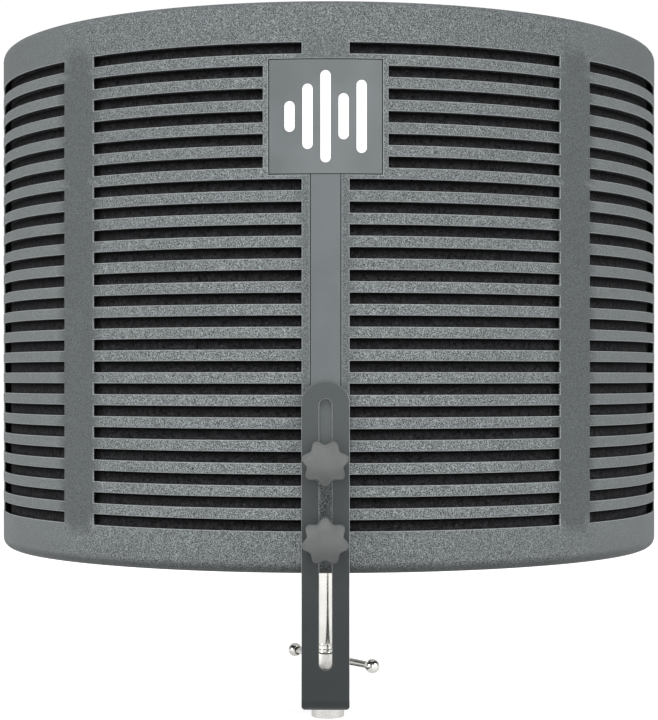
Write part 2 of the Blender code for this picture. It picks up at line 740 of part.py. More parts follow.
def make_knob(which):
    """A lobed clamping knob with its stud and washer, on an axis along Y through the height slot."""
    z = KNOB_HEIGHTS[which]
    towards_shield = (-math.pi / 2, 0, 0)
    washer_face = PLATE_FRONT_Y - GAP
    washer(
        f"knob_washer_{which}",
        KNOB_WASHER_RADIUS,
        STUD_RADIUS + GAP,
        KNOB_WASHER_THICKNESS,
        "zinc_steel",
        (0, washer_face - KNOB_WASHER_THICKNESS, z),
        towards_shield,
    )
    hub_face = washer_face - KNOB_WASHER_THICKNESS - GAP
    hub_end = hub_face - KNOB_HUB_LENGTH
    points = KNOB_LOBES * 6
    outline = []
    for number in range(points):
        turn = 2 * math.pi * number / points
        radius = KNOB_MEAN_RADIUS + KNOB_LOBE_DEPTH * math.cos(KNOB_LOBES * turn)
        lobe = turn + math.radians(KNOB_BOTTOM_LOBE_DEG[which])
        outline.append((radius * math.cos(lobe), radius * math.sin(lobe)))
    mesh = prism_mesh(f"knob_{which}", outline, KNOB_GRIP_THICKNESS)
    mesh.transform(Matrix.Translation((0, 0, KNOB_HUB_LENGTH + KNOB_GRIP_THICKNESS / 2)))
    knob = part(f"knob_{which}", mesh, "knob_plastic", (0, hub_face, z), (math.pi / 2, 0, 0))
    bevel = knob.modifiers.new("rounding", "BEVEL")
    bevel.width = 0.0016
    bevel.segments = 2
    bevel.limit_method = "ANGLE"
    bevel.angle_limit = math.radians(60)
    hub = rod_mesh(f"hub_{which}", (0, hub_face, z), (0, hub_end - 0.002, z), KNOB_HUB_RADIUS)
    join(knob, helper(f"hub_{which}", hub))
    stud_start = hub_end - 0.006
    bore = rod_mesh(
        f"knob_bore_{which}", (0, hub_face + WALL, z), (0, stud_start - GAP, z), STUD_RADIUS + GAP
    )
    cut(knob, helper(f"knob_bore_{which}", bore))
    length = INSERT_Y[1] - 0.002 - stud_start
    tip = 0.0006
    profile = [
        (0, length),
        (STUD_RADIUS - tip, length),
        (STUD_RADIUS, length - tip),
        (STUD_RADIUS, 0),
        (0, 0),
    ]
    stud_place = (0, stud_start, z)
    turned(f"knob_stud_{which}", profile, SMALL_ROUND, "zinc_steel", False, stud_place, towards_shield)
    ring = [
        (INSERT_RADIUS, INSERT_Y[1] - INSERT_Y[0]),
        (INSERT_RADIUS, 0),
        (STUD_RADIUS + GAP, 0),
        (STUD_RADIUS + GAP, INSERT_Y[1] - INSERT_Y[0]),
    ]
    turned(f"insert_{which}", ring, SMALL_ROUND, "brass", True, (0, INSERT_Y[0], z), towards_shield)


def make_stand_adapter():
    """The socket that screws on the stand, and the washers above and below the bracket's flange."""
    bore = POST_STUD_RADIUS + 2 * GAP
    chamfer = 0.0008
    socket = [
        (SOCKET_RADIUS - chamfer, SOCKET_TOP),
        (SOCKET_RADIUS, SOCKET_TOP - chamfer),
        (SOCKET_RADIUS, 0.0004),
        (SOCKET_RADIUS - 0.0004, 0),
        (SOCKET_BORE_RADIUS, 0),
        (SOCKET_BORE_RADIUS, SOCKET_BORE_DEPTH),
        (bore, SOCKET_BORE_DEPTH),
        (bore, SOCKET_TOP),
    ]
    turned("stand_socket", socket, ROUND, "nickel", True)
    swivel_z = SOCKET_TOP + GAP
    swivel_thickness = BRACKET_FLANGE_Z - GAP - swivel_z
    clamp_z = FLANGE_TOP + GAP
    radius = CLAMP_WASHER_RADIUS
    washer("swivel_washer", radius, bore, swivel_thickness, "zinc_steel", (0, 0, swivel_z))
    washer("clamp_washer", radius, bore, CLAMP_WASHER_THICKNESS, "zinc_steel", (0, 0, clamp_z))


def make_mic_post():
    """One turned piece: stud, collar with the cross hole, grooved neck, rod and microphone thread."""
    collar_bottom = FLANGE_TOP + 2 * GAP + CLAMP_WASHER_THICKNESS
    chamfer = 0.0006
    thread_chamfer = 0.0010
    groove = POST_RADIUS - 0.0014
    ring = POST_RADIUS + 0.0006
    profile = [
        (0, POST_TOP),
        (MIC_THREAD_RADIUS - thread_chamfer, POST_TOP),
        (MIC_THREAD_RADIUS, POST_TOP - thread_chamfer),
        (MIC_THREAD_RADIUS, POST_SHOULDER_Z),
        (POST_RADIUS, POST_SHOULDER_Z),
        (POST_RADIUS, COLLAR_TOP + 0.0053),
        (groove, COLLAR_TOP + 0.0050),
        (groove, COLLAR_TOP + 0.0047),
        (ring, COLLAR_TOP + 0.0044),
        (ring, COLLAR_TOP + 0.0036),
        (groove, COLLAR_TOP + 0.0033),
        (groove, COLLAR_TOP + 0.0020),
        (ring, COLLAR_TOP + 0.0017),
        (ring, COLLAR_TOP + 0.0008),
        (groove, COLLAR_TOP + 0.0005),
        (groove, COLLAR_TOP),
        (COLLAR_RADIUS - chamfer, COLLAR_TOP),
        (COLLAR_RADIUS, COLLAR_TOP - chamfer),
        (COLLAR_RADIUS, collar_bottom),
        (POST_STUD_RADIUS, collar_bottom),
        (POST_STUD_RADIUS, POST_STUD_TIP + chamfer),
        (POST_STUD_RADIUS - chamfer, POST_STUD_TIP),
        (0, POST_STUD_TIP),
    ]
    post = turned("mic_post", profile, ROUND, "nickel")
    reach = COLLAR_RADIUS + WALL
    along = t_bar_direction()
    level = Vector((0, 0, T_BAR_Z))
    bore = rod_mesh("cross_hole", level - along * reach, level + along * reach, T_BAR_RADIUS + GAP)
    cut(post, helper("cross_hole", bore))


def t_bar_direction():
    turn = math.radians(T_BAR_DIRECTION_DEG)
    return Vector((math.cos(turn), math.sin(turn), 0))


def make_t_bar():
    """The sliding cross bar, with a ball on each end that is flattened at its outer side."""
    along = t_bar_direction()
    level = (0, 0, T_BAR_Z)
    left_end = along * (GAP - T_BAR_LEFT)
    right_end = along * (T_BAR_RIGHT - GAP)
    part("t_bar", rod_mesh("t_bar", left_end, right_end, T_BAR_RADIUS, 12), "nickel", level)
    for side, distance in (("left", -T_BAR_LEFT), ("right", T_BAR_RIGHT)):
        outward = along * math.copysign(1, distance)
        centre = along * distance
        bm = bmesh.new()
        bmesh.ops.create_uvsphere(bm, u_segments=16, v_segments=10, radius=T_BAR_BALL_RADIUS)
        turn = outward.to_track_quat("Z", "Y").to_matrix().to_4x4()
        bmesh.ops.transform(bm, matrix=Matrix.Translation(centre) @ turn, verts=bm.verts)
        ball = part(f"t_bar_ball_{side}", mesh_from(bm, f"t_bar_ball_{side}"), "nickel", level)
        inner = centre - outward * 2 * T_BAR_BALL_RADIUS
        socket = rod_mesh(f"ball_bore_{side}", inner, centre, T_BAR_RADIUS + GAP, 12)
        cut(ball, helper(f"ball_bore_{side}", socket, level))
        flat = rod_mesh(
            f"ball_flat_{side}",
            centre + outward * T_BAR_BALL_FLAT,
            centre + outward * 2 * T_BAR_BALL_RADIUS,
            T_BAR_BALL_RADIUS,
            12,
        )
        cut(ball, helper(f"ball_flat_{side}", flat, level))


def carrier(name, location, pieces, parent=None):
    """An empty on a joint's axis. It carries the pieces that move with the joint, and rides on its parent."""
    empty = bpy.data.objects.new(name, None)
    empty.empty_display_size = CARRIER_SIZE
    PARTS.objects.link(empty)
    start = Vector(parent["rest"]) if parent else Vector()
    empty.location = Vector(location) - start
    empty.parent = parent
    empty["rest"] = location
    for piece in pieces:
        obj = bpy.data.objects[piece]
        obj.parent = empty
        obj.matrix_parent_inverse = Matrix.Translation(location).inverted()
    return empty


def shield_pieces():
    """The names of everything that moves with the shield."""
    names = ["outer_shell", *frame_screws(), "rear_absorber", "foil_sheet", "front_absorber"]
    names += ["badge_plate", "badge_emblem", "inlay_strip", "insert_upper", "insert_lower"]
    names += [f"spacer_rib_{number}" for number in range(1, len(RIB_ANGLES) + 1)]
    names += [f"frame_screw_{number}" for number in range(1, len(all_screws()) + 1)]
    return names


def make_carriers():
    """The joints' chains: swivel, reach, height and the knobs, and the post with its cross bar."""
    swivel = carrier("swivel_axis", (0, 0, SOCKET_TOP), ["swivel_washer"])
    reach = carrier("bracket_reach", (0, 0, BRACKET_FLANGE_Z), ["bracket"], swivel)
    height_place = (0, PLATE_BACK_Y, KNOB_HEIGHTS["upper"])
    height = carrier("shield_height", height_place, shield_pieces(), reach)
    for which, z in KNOB_HEIGHTS.items():
        pieces = [f"knob_washer_{which}", f"knob_{which}", f"knob_stud_{which}"]
        carrier(f"knob_axis_{which}", (0, PLATE_FRONT_Y, z), pieces, height)
    post = carrier("post_axis", (0, 0, FLANGE_TOP), ["clamp_washer", "mic_post"])
    cross_bar = ["t_bar", "t_bar_ball_left", "t_bar_ball_right"]
    carrier("cross_bar_axis", (0, 0, T_BAR_Z), cross_bar, post)


clear_scene()
PARTS = new_collection("microphone_isolation_shield")
HELPERS = new_collection("cutters")
make_outer_shell()
make_inner_frame()
make_layers()
make_frame_screws()
make_badge()
make_bracket()
make_knob("upper")
make_knob("lower")
make_stand_adapter()
make_mic_post()
make_t_bar()
make_carriers()
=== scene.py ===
"""Looks for the microphone isolation shield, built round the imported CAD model.

Metres, +Z up. -Y is the shield's convex back, and +Y the performer's side.
"""

import json
import math

import bmesh
import bpy
import numpy as np
from mathutils import Matrix, Vector


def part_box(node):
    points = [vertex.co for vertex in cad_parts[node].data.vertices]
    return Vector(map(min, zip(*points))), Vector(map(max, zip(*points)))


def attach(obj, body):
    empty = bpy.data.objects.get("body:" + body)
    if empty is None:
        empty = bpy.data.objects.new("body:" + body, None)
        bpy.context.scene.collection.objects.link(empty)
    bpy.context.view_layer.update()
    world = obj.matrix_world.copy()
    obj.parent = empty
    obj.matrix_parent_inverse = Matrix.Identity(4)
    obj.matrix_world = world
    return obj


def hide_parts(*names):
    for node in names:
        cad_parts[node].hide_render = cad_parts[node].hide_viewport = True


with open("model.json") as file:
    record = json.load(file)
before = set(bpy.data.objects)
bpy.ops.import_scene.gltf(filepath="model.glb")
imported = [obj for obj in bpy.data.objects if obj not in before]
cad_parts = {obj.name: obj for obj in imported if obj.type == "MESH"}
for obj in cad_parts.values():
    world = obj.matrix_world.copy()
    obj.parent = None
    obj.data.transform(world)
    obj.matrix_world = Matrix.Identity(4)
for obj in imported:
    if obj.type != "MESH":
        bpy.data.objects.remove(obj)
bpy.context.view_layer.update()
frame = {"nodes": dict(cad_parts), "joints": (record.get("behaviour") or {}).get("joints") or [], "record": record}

# ---------------- sizes
MM = 0.001
SHELL_LOW, SHELL_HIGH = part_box("outer_shell")
R_OUT = (SHELL_HIGH.x - SHELL_LOW.x) / 2
ARC_Y = SHELL_LOW.y + R_OUT
Z_LOW = SHELL_LOW.z
Z_TOP = SHELL_HIGH.z
FRAME_NODES = ("frame_rail_bottom", "frame_rail_top", "frame_end_left", "frame_end_right")
R_FRAME_OUT = (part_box("frame_end_right")[1].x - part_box("frame_end_left")[0].x) / 2
# The shell's rims end here, just outside the inner frame.
R_PART = R_FRAME_OUT + 0.3 * MM
R_IN = 155.5 * MM
FRAME_WALL = 3.0 * MM
SHELL_WALL = 1.5 * MM
RIM = 6.0 * MM
END_ROUND = 2.6 * MM
SLOT_BEVEL = 0.45 * MM
# Painted shade on the shell's lower rim: the share of its colour taken away at the bottom edge.
LOW_RIM_SHADE = 0.62
# Mesh steps: up the wall, and round it in degrees.
SHELL_STEPS = (9 * MM, 2.0)
FRAME_STEPS = (14 * MM, 2.5)
# Slots: rows from the top down, and columns as distances along the outer face from the middle of the back.
ROWS = 22
PITCH = 11.84 * MM
SLOT_H = 5.9 * MM
STRIP = 25.0 * MM
SLOT_L = 125.0 * MM
# The rows beside the badge start further out. The inlay ends at the top of INLAY_ROW.
SHORT_START = 33.0 * MM
SHORT_ROWS = range(1, 6)
INLAY_ROW = 18
MARGIN = (Z_TOP - Z_LOW - (ROWS - 1) * PITCH - SLOT_H) / 2
BADGE_LOW, BADGE_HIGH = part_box("badge_plate")
INLAY_LOW, INLAY_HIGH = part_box("inlay_strip")
BADGE_Z = (BADGE_LOW.z + BADGE_HIGH.z) / 2
BADGE_H = BADGE_HIGH.z - BADGE_LOW.z
GROOVE = 0.45 * MM
BRACKET_LOW, BRACKET_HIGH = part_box("bracket")


def deg(width, radius=R_OUT):
    return math.degrees(width / radius)


def arc(radius, degrees, z):
    a = math.radians(degrees)
    return Vector((radius * math.sin(a), ARC_Y - radius * math.cos(a), z))


# ---------------- nodes
def make_material(name, base, roughness, metallic=0.0):
    m = bpy.data.materials.new(name)
    m.use_nodes = True
    b = m.node_tree.nodes["Principled BSDF"]
    b.inputs["Base Color"].default_value = (*base, 1)
    b.inputs["Roughness"].default_value = roughness
    b.inputs["Metallic"].default_value = metallic
    return m, m.node_tree, b


def node(nt, kind, **settings):
    n = nt.nodes.new(kind)
    for key, value in settings.items():
        if key.startswith("in_"):
            k = key[3:]
            n.inputs[int(k) if k.isdigit() else k.replace("_", " ")].default_value = value
        else:
            setattr(n, key, value)
    return n


def feed(n, name, value):
    """Gives a node's input a number, a colour or another node's output."""
    if isinstance(value, (int, float)):
        n.inputs[name].default_value = value
    elif isinstance(value, tuple):
        n.inputs[name].default_value = (*value, 1)
    else:
        n.id_data.links.new(value, n.inputs[name])


def coords(nt, stretch=None):
    tc = node(nt, "ShaderNodeTexCoord")
    if stretch is None:
        return tc.outputs["Object"]
    mp = node(nt, "ShaderNodeMapping")
    mp.inputs["Scale"].default_value = stretch
    feed(mp, "Vector", tc.outputs["Object"])
    return mp.outputs["Vector"]


def height_of(nt, vec):
    n = node(nt, "ShaderNodeSeparateXYZ")
    feed(n, "Vector", vec)
    return n.outputs["Z"]


def noise(nt, vec, scale, detail=2.0, rough=0.5):
    n = node(nt, "ShaderNodeTexNoise", in_Scale=scale, in_Detail=detail, in_Roughness=rough)
    feed(n, "Vector", vec)
    return n.outputs["Fac"]


def cells(nt, vec, scale, smoothness):
    n = node(nt, "ShaderNodeTexVoronoi", feature="SMOOTH_F1", in_Scale=scale, in_Smoothness=smoothness)
    feed(n, "Vector", vec)
    return n.outputs["Distance"]


def spread(nt, value, low, high, to_low=0.0, to_high=1.0):
    n = node(nt, "ShaderNodeMapRange", in_1=low, in_2=high, in_3=to_low, in_4=to_high)
    feed(n, 0, value)
    return n.outputs[0]


def maths(nt, op, a, b=None, clamp=False):
    n = node(nt, "ShaderNodeMath", operation=op, use_clamp=clamp)
    feed(n, 0, a)
    if b is not None:
        feed(n, 1, b)
    return n.outputs[0]


def blend_colour(nt, fac, a, b, mode="MIX"):
    n = node(nt, "ShaderNodeMix", data_type="RGBA", blend_type=mode)
    n.clamp_result = False
    for i, value in ((0, fac), (6, a), (7, b)):
        feed(n, i, value)
    return n.outputs[2]


def vertex_layer(nt, name):
    return node(nt, "ShaderNodeAttribute", attribute_name=name).outputs["Fac"]


def bump(shader, height, strength, distance):
    n = node(shader.id_data, "ShaderNodeBump", in_Strength=strength, in_Distance=distance)
    feed(n, "Height", height)
    feed(shader, "Normal", n.outputs["Normal"])


def roughness(shader, value, low, high):
    feed(shader, "Roughness", spread(shader.id_data, value, 0.3, 0.7, low, high))


def shade(colour, share):
    return tuple(c * share for c in colour)


# ---------------- materials
ABS_DARK = (0.062, 0.070, 0.072)
ABS_BRIGHT = (0.150, 0.165, 0.167)
ABS_STAIN = (0.085, 0.097, 0.100)
# Painted highlight for the edges of the slots and recesses.
ABS_EDGE_HIGHLIGHT = (0.40, 0.42, 0.42)


def grained_abs(name):
    """Slate grey moulded ABS with a fine pebble grain.

    The vertex layer 'tone' goes from the dark strips (0) to the bright bars (1), and in places it holds painted
    light (see shell_tone); 'grain' is the strength of the speckles. 'edge' is 1 on the edges of the slots, for a
    painted highlight, and below 0 on the lower rim, for painted shade.
    """
    m, nt, b = make_material(name, ABS_BRIGHT, 0.55)
    vec = coords(nt)
    pebbles = cells(nt, vec, 1650, 0.6)
    fine = noise(nt, vec, 2300, 2, 0.65)
    patch = noise(nt, vec, 620, 2, 0.6)
    large = noise(nt, vec, 22, 3, 0.55)
    grain = maths(nt, "ADD", maths(nt, "MULTIPLY", pebbles, 0.6), maths(nt, "MULTIPLY", fine, 1.1))
    edge = vertex_layer(nt, "edge")
    tone = blend_colour(nt, vertex_layer(nt, "tone"), ABS_DARK, ABS_BRIGHT)
    tone = blend_colour(nt, spread(nt, large, 0.3, 0.7, 0.0, 0.22), tone, ABS_STAIN)
    speckle = spread(nt, grain, 0.66, 1.04, -1.0, 1.0)
    speckle = maths(nt, "ADD", speckle, spread(nt, patch, 0.3, 0.7, -0.15, 0.15))
    reach = maths(nt, "ADD", maths(nt, "MULTIPLY", vertex_layer(nt, "grain"), 0.88), 0.16)
    gain = maths(nt, "ADD", maths(nt, "MULTIPLY", speckle, reach), 1.0)
    # Painted shade: where 'edge' is below 0 the lower rim turns darker.
    rim = maths(nt, "ADD", maths(nt, "MINIMUM", edge, 0.0), 1.0)
    gain = maths(nt, "MULTIPLY", gain, rim)
    scaled = node(nt, "ShaderNodeVectorMath", operation="SCALE")
    feed(scaled, "Vector", tone)
    feed(scaled, "Scale", gain)
    # Painted highlight: the middle of the bevels, where 'edge' is above 0, turns light.
    edge_highlight = maths(nt, "MULTIPLY", edge, 0.8, clamp=True)
    feed(b, "Base Color", blend_colour(nt, edge_highlight, scaled.outputs[0], ABS_EDGE_HIGHLIGHT))
    roughness(b, fine, 0.40, 0.62)
    bump(b, grain, 0.8, 0.0004)
    b.inputs["Specular IOR Level"].default_value = 0.4
    return m


def smooth_abs(name, base=(0.108, 0.121, 0.123)):
    m, nt, b = make_material(name, base, 0.42)
    vec = coords(nt)
    large = noise(nt, vec, 30, 3, 0.5)
    fine = noise(nt, vec, 3500, 2, 0.5)
    patches = spread(nt, large, 0.35, 0.65)
    feed(b, "Base Color", blend_colour(nt, patches, shade(base, 0.88), shade(base, 1.10)))
    roughness(b, fine, 0.36, 0.48)
    bump(b, fine, 0.12, 0.0001)
    return m


def white_enamel(name):
    m, nt, b = make_material(name, (0.86, 0.86, 0.86), 0.35)
    vec = coords(nt)
    large = noise(nt, vec, 120, 3, 0.5)
    feed(b, "Base Color", blend_colour(nt, large, (0.87, 0.875, 0.87), (0.92, 0.92, 0.915)))
    roughness(b, noise(nt, vec, 2500, 2), 0.30, 0.42)
    return m


def felt(name, base=(0.0062, 0.0062, 0.0066), rows=False):
    """Needled felt with short fibres and lint. With rows, each slot row gets painted shadow on top, light below.
    """
    m, nt, b = make_material(name, base, 1.0)
    vec = coords(nt)
    fibres = noise(nt, coords(nt, (1, 1, 0.25)), 2600, 4, 0.75)
    fibres2 = noise(nt, coords(nt, (0.25, 0.25, 1)), 2200, 4, 0.75)
    tuft = noise(nt, vec, 420, 4, 0.7)
    both = maths(nt, "ADD", fibres, fibres2)
    h = maths(nt, "ADD", both, tuft)
    tone = blend_colour(nt, spread(nt, h, 1.25, 1.85), shade(base, 0.25), shade(base, 6.0))
    lint = spread(nt, noise(nt, vec, 900, 2, 0.4), 0.69, 0.75)
    tone = blend_colour(nt, lint, tone, shade(base, 11.0))
    if rows:
        # Painted shadow at the top of each row of slots, where the bar above shades the felt, and painted light
        # lower down.
        down = maths(nt, "SUBTRACT", Z_TOP - MARGIN, height_of(nt, vec))
        down = maths(nt, "MULTIPLY", down, 1 / PITCH)
        share = maths(nt, "FRACT", down)
        painted_lit_felt = blend_colour(nt, 1.0, tone, (1.9, 1.9, 1.9), "MULTIPLY")
        painted_shadow_felt = blend_colour(nt, 1.0, tone, (0.22, 0.22, 0.22), "MULTIPLY")
        tone = blend_colour(nt, spread(nt, share, 0.08, 0.38), painted_shadow_felt, painted_lit_felt)
    feed(b, "Base Color", tone)
    bump(b, h, 1.0, 0.0006)
    b.inputs["Specular IOR Level"].default_value = 0.04
    b.inputs["Sheen Weight"].default_value = 0.03
    b.inputs["Sheen Roughness"].default_value = 0.6
    b.inputs["Sheen Tint"].default_value = (0.55, 0.57, 0.60, 1)
    return m


def rolled_foil(name):
    m, nt, b = make_material(name, (0.80, 0.81, 0.82), 0.3, 1.0)
    lines = noise(nt, coords(nt, (1, 1, 0.02)), 900, 3, 0.6)
    roughness(b, lines, 0.22, 0.42)
    bump(b, lines, 0.15, 0.0002)
    return m


def satin_paint(name):
    """Dark grey satin paint on flat steel. The vertex layer 'edge' marks the edges that get a painted highlight.
    """
    m, nt, b = make_material(name, (0.05, 0.058, 0.06), 0.4)
    vec = coords(nt)
    large = noise(nt, vec, 18, 3, 0.5)
    fine = noise(nt, vec, 1500, 3, 0.6)
    # Painted shade: the paint is darker towards the bottom, below 170 mm and darkest below 70 mm.
    up = spread(nt, height_of(nt, vec), 70 * MM, 170 * MM)
    tone = blend_colour(nt, up, (0.0095, 0.013, 0.014), (0.054, 0.062, 0.064))
    tone = blend_colour(nt, spread(nt, large, 0.3, 0.7, 0, 0.3), tone, (0.030, 0.036, 0.038))
    tone = blend_colour(nt, spread(nt, fine, 0.35, 0.75, 0, 0.15), tone, (0.075, 0.082, 0.082))
    # Painted highlight: the edges in the layer 'edge' turn light and metallic, in patches.
    patchy = spread(nt, noise(nt, vec, 260, 3, 0.6), 0.25, 0.6, 0.55, 1.0)
    edge_highlight = maths(nt, "MULTIPLY", vertex_layer(nt, "edge"), patchy)
    feed(b, "Base Color", blend_colour(nt, edge_highlight, tone, (0.50, 0.51, 0.51)))
    feed(b, "Metallic", maths(nt, "MULTIPLY", edge_highlight, 0.8))
    roughness(b, fine, 0.40, 0.55)
    bump(b, fine, 0.22, 0.00012)
    b.inputs["Specular IOR Level"].default_value = 0.35
    return m


def knob_plastic(name):
    m, nt, b = make_material(name, (0.10, 0.11, 0.11), 0.6)
    vec = coords(nt)
    fine = noise(nt, vec, 2600, 3, 0.6)
    large = noise(nt, vec, 90, 3, 0.5)
    tone = blend_colour(nt, spread(nt, large, 0.3, 0.7), (0.066, 0.071, 0.069), (0.090, 0.096, 0.093))
    tone = blend_colour(nt, spread(nt, fine, 0.3, 0.7, 0.0, 0.4), tone, (0.125, 0.131, 0.127))
    # Painted shade from the layer 'tone': the knob is darker low down and a little darker at the top.
    tone = blend_colour(nt, vertex_layer(nt, "tone"), (0.050, 0.054, 0.053), tone)
    feed(b, "Base Color", tone)
    roughness(b, fine, 0.42, 0.58)
    bump(b, fine, 0.35, 0.0002)
    return m


def metal(name, base, low, high, stretch=(1, 1, 1), scale=1500, strength=0.1):
    """Plated or turned metal with fine marks. The stretch sets which way they run."""
    m, nt, b = make_material(name, base, low, 1.0)
    marks = noise(nt, coords(nt, stretch), scale, 4, 0.65)
    smear = noise(nt, coords(nt), 60, 3, 0.5)
    feed(b, "Base Color", blend_colour(nt, spread(nt, smear, 0.35, 0.65), shade(base, 0.88), base))
    roughness(b, marks, low, high)
    bump(b, marks, strength, 0.0001)
    return m


def knurled(name, base):
    """Nickel with a fine pressed pattern, which looks frosted from a distance."""
    m, nt, b = make_material(name, base, 0.35, 1.0)
    vec = coords(nt)
    grit = noise(nt, vec, 1700, 4, 0.7)
    feed(b, "Base Color", blend_colour(nt, spread(nt, grit, 0.35, 0.65), shade(base, 0.72), base))
    roughness(b, grit, 0.28, 0.5)
    bump(b, grit, 0.6, 0.0003)
    return m


MATS = {
    "grained_abs": grained_abs("grained_abs_look"),
    "smooth_abs": smooth_abs("smooth_abs_look"),
    "emblem_white": white_enamel("emblem_white_look"),
    "felt": felt("felt_look", rows=True),
    "felt_front": felt("felt_front_look", (0.015, 0.015, 0.016)),
    "foil": rolled_foil("foil_look"),
    "black_steel": satin_paint("black_steel_look"),
    "knob_plastic": knob_plastic("knob_plastic_look"),
    "zinc_steel": metal("zinc_steel_look", (0.60, 0.60, 0.58), 0.24, 0.42, scale=1200, strength=0.2),
    "brass": metal("brass_look", (0.72, 0.55, 0.25), 0.25, 0.45, (1, 0.05, 1), 1800, 0.2),
    "nickel": metal("nickel_look", (0.86, 0.845, 0.80), 0.10, 0.20, (0.05, 0.05, 1), 2200, 0.06),
    "nickel_frosted": knurled("nickel_frosted_look", (0.97, 0.945, 0.91)),
    "inlay_abs": smooth_abs("inlay_abs_look", (0.088, 0.101, 0.103)),
}
SLOT_OF = {p["node"]: p["material_slot"] for p in frame["record"]["subparts"]}
BODY_OF = {n: b for b, ns in frame["record"]["behaviour"]["bodies"].items() for n in ns}


# ---------------- mesh helpers
ON_AXIS = 1e-9


def new_object(name, data):
    obj = bpy.data.objects.new(name, data)
    bpy.context.scene.collection.objects.link(obj)
    return obj


def add_piece(name, bm, stands_for, look=None, sharp=None):
    """A finished piece that rides where its CAD node does."""
    bmesh.ops.recalc_face_normals(bm, faces=bm.faces)
    return add_mesh(name, mesh_of(name, bm), stands_for, look, sharp)


def mesh_of(name, bm):
    mesh = bpy.data.meshes.new(name)
    bm.to_mesh(mesh)
    bm.free()
    return mesh


def add_mesh(name, mesh, stands_for, look=None, sharp=None):
    obj = new_object(name, mesh)
    names = [stands_for] if isinstance(stands_for, str) else list(stands_for)
    slot = SLOT_OF[names[0]]
    mesh.materials.clear()
    mesh.materials.append(MATS[look or slot])
    mesh.shade_smooth()
    if sharp:
        mesh.set_sharp_from_angle(angle=math.radians(sharp))
    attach(obj, BODY_OF[names[0]])
    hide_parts(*names)
    return obj


def bake(obj):
    """Keeps what the object's modifiers make as its mesh."""
    graph = bpy.context.evaluated_depsgraph_get()
    mesh = bpy.data.meshes.new_from_object(obj.evaluated_get(graph))
    old = obj.data
    obj.modifiers.clear()
    obj.data = mesh
    bpy.data.meshes.remove(old)
    return obj


def temp_object(name, bm):
    bmesh.ops.recalc_face_normals(bm, faces=bm.faces)
    return new_object(name, mesh_of(name, bm))


def drop(obj):
    mesh = obj.data
    bpy.data.objects.remove(obj, do_unlink=True)
    bpy.data.meshes.remove(mesh)


def promote(obj, name, stands_for, sharp=None):
    """Makes a temporary object a finished piece."""
    mesh = obj.data.copy()
    drop(obj)
    return add_mesh(name, mesh, stands_for, sharp=sharp)


def cut(obj, cutter):
    """Takes the cutter out of the object. The cut faces keep the object's own material."""
    mod = obj.modifiers.new("cut", "BOOLEAN")
    mod.operation = "DIFFERENCE"
    mod.solver = "MANIFOLD"
    mod.object = cutter
    mesh = bake(obj).data
    mesh.polygons.foreach_set("material_index", [0] * len(mesh.polygons))
    while len(mesh.materials) > 1:
        mesh.materials.pop()
    drop(cutter)


def fill_layer(mesh, name, values):
    """Adds a vertex layer with these values."""
    mesh.attributes.new(name, "FLOAT", "POINT").data.foreach_set("value", values)


def soften(obj, width, segments=2, angle=40):
    """Bevels the edges that turn by more than the angle."""
    mod = obj.modifiers.new("soften", "BEVEL")
    mod.width = width
    mod.segments = segments
    mod.limit_method = "ANGLE"
    mod.angle_limit = math.radians(angle)
    mod.harden_normals = True
    return mod


def add_cylinder(bm, radius, length, matrix, sides):
    bmesh.ops.create_cone(bm, cap_ends=True, segments=sides, radius1=radius, radius2=radius, depth=length,
                          matrix=matrix)


def ring_row(bm, radius, z, sides=48):
    turns = [2 * math.pi * k / sides for k in range(sides)]
    return [bm.verts.new((radius * math.cos(t), radius * math.sin(t), z)) for t in turns]


def skin_rows(bm, rows, close=False):
    """Faces between each row of vertices and the next, and with close back to the first."""
    pairs = list(zip(rows, rows[1:]))
    if close:
        pairs.append((rows[-1], rows[0]))
    for a, b in pairs:
        n = len(a)
        for k in range(n):
            bm.faces.new((a[k], a[(k + 1) % n], b[(k + 1) % n], b[k]))


def lathe(profile, sides=64):
    """A closed solid turned about Z. Its (radius, z) profile starts and ends on the axis or is a ring."""
    bm = bmesh.new()
    rows = [[bm.verts.new((0, 0, z))] if r < ON_AXIS else ring_row(bm, r, z, sides) for r, z in profile]
    pairs = list(zip(rows, rows[1:]))
    if profile[0][0] > ON_AXIS:
        pairs.append((rows[-1], rows[0]))
    for a, b in pairs:
        for k in range(sides):
            j = (k + 1) % sides
            corners = list(dict.fromkeys((a[k % len(a)], a[j % len(a)], b[j % len(b)], b[k % len(b)])))
            if len(corners) > 2:
                bm.faces.new(corners)
    return bm


def rounded_corners(points, size=0.3 * MM, steps=3):
    """Rounds each inner corner of a profile, except those on the axis."""
    out = []
    last = len(points) - 1
    for i, p in enumerate(points):
        p = Vector(p)
        if p.x < ON_AXIS or (i in (0, last) and points[0][0] < ON_AXIS):
            out.append(tuple(p))
            continue
        u, v = Vector(points[i - 1]) - p, Vector(points[(i + 1) % len(points)]) - p
        s = min(size, u.length * 0.45, v.length * 0.45)
        start, end = p + u.normalized() * s, p + v.normalized() * s
        for k in range(steps + 1):
            t = k / steps
            out.append(tuple((1 - t) ** 2 * start + 2 * t * (1 - t) * p + t * t * end))
    return out


def place(bm, matrix):
    bmesh.ops.transform(bm, matrix=matrix, verts=bm.verts)
    return bm


def along(axis, origin):
    """A matrix that takes local Z to this axis and the origin to this point."""
    return Matrix.Translation(origin) @ Vector(axis).to_track_quat("Z", "Y").to_matrix().to_4x4()


# ---------------- outer shell
def quarter(cr, cz, radius, start, steps):
    """A quarter circle of (r, z) points round (cr, cz), from this angle on."""
    turns = [math.radians(start + 90 * k / steps) for k in range(steps + 1)]
    return [(cr + radius * math.cos(t), cz + radius * math.sin(t)) for t in turns]


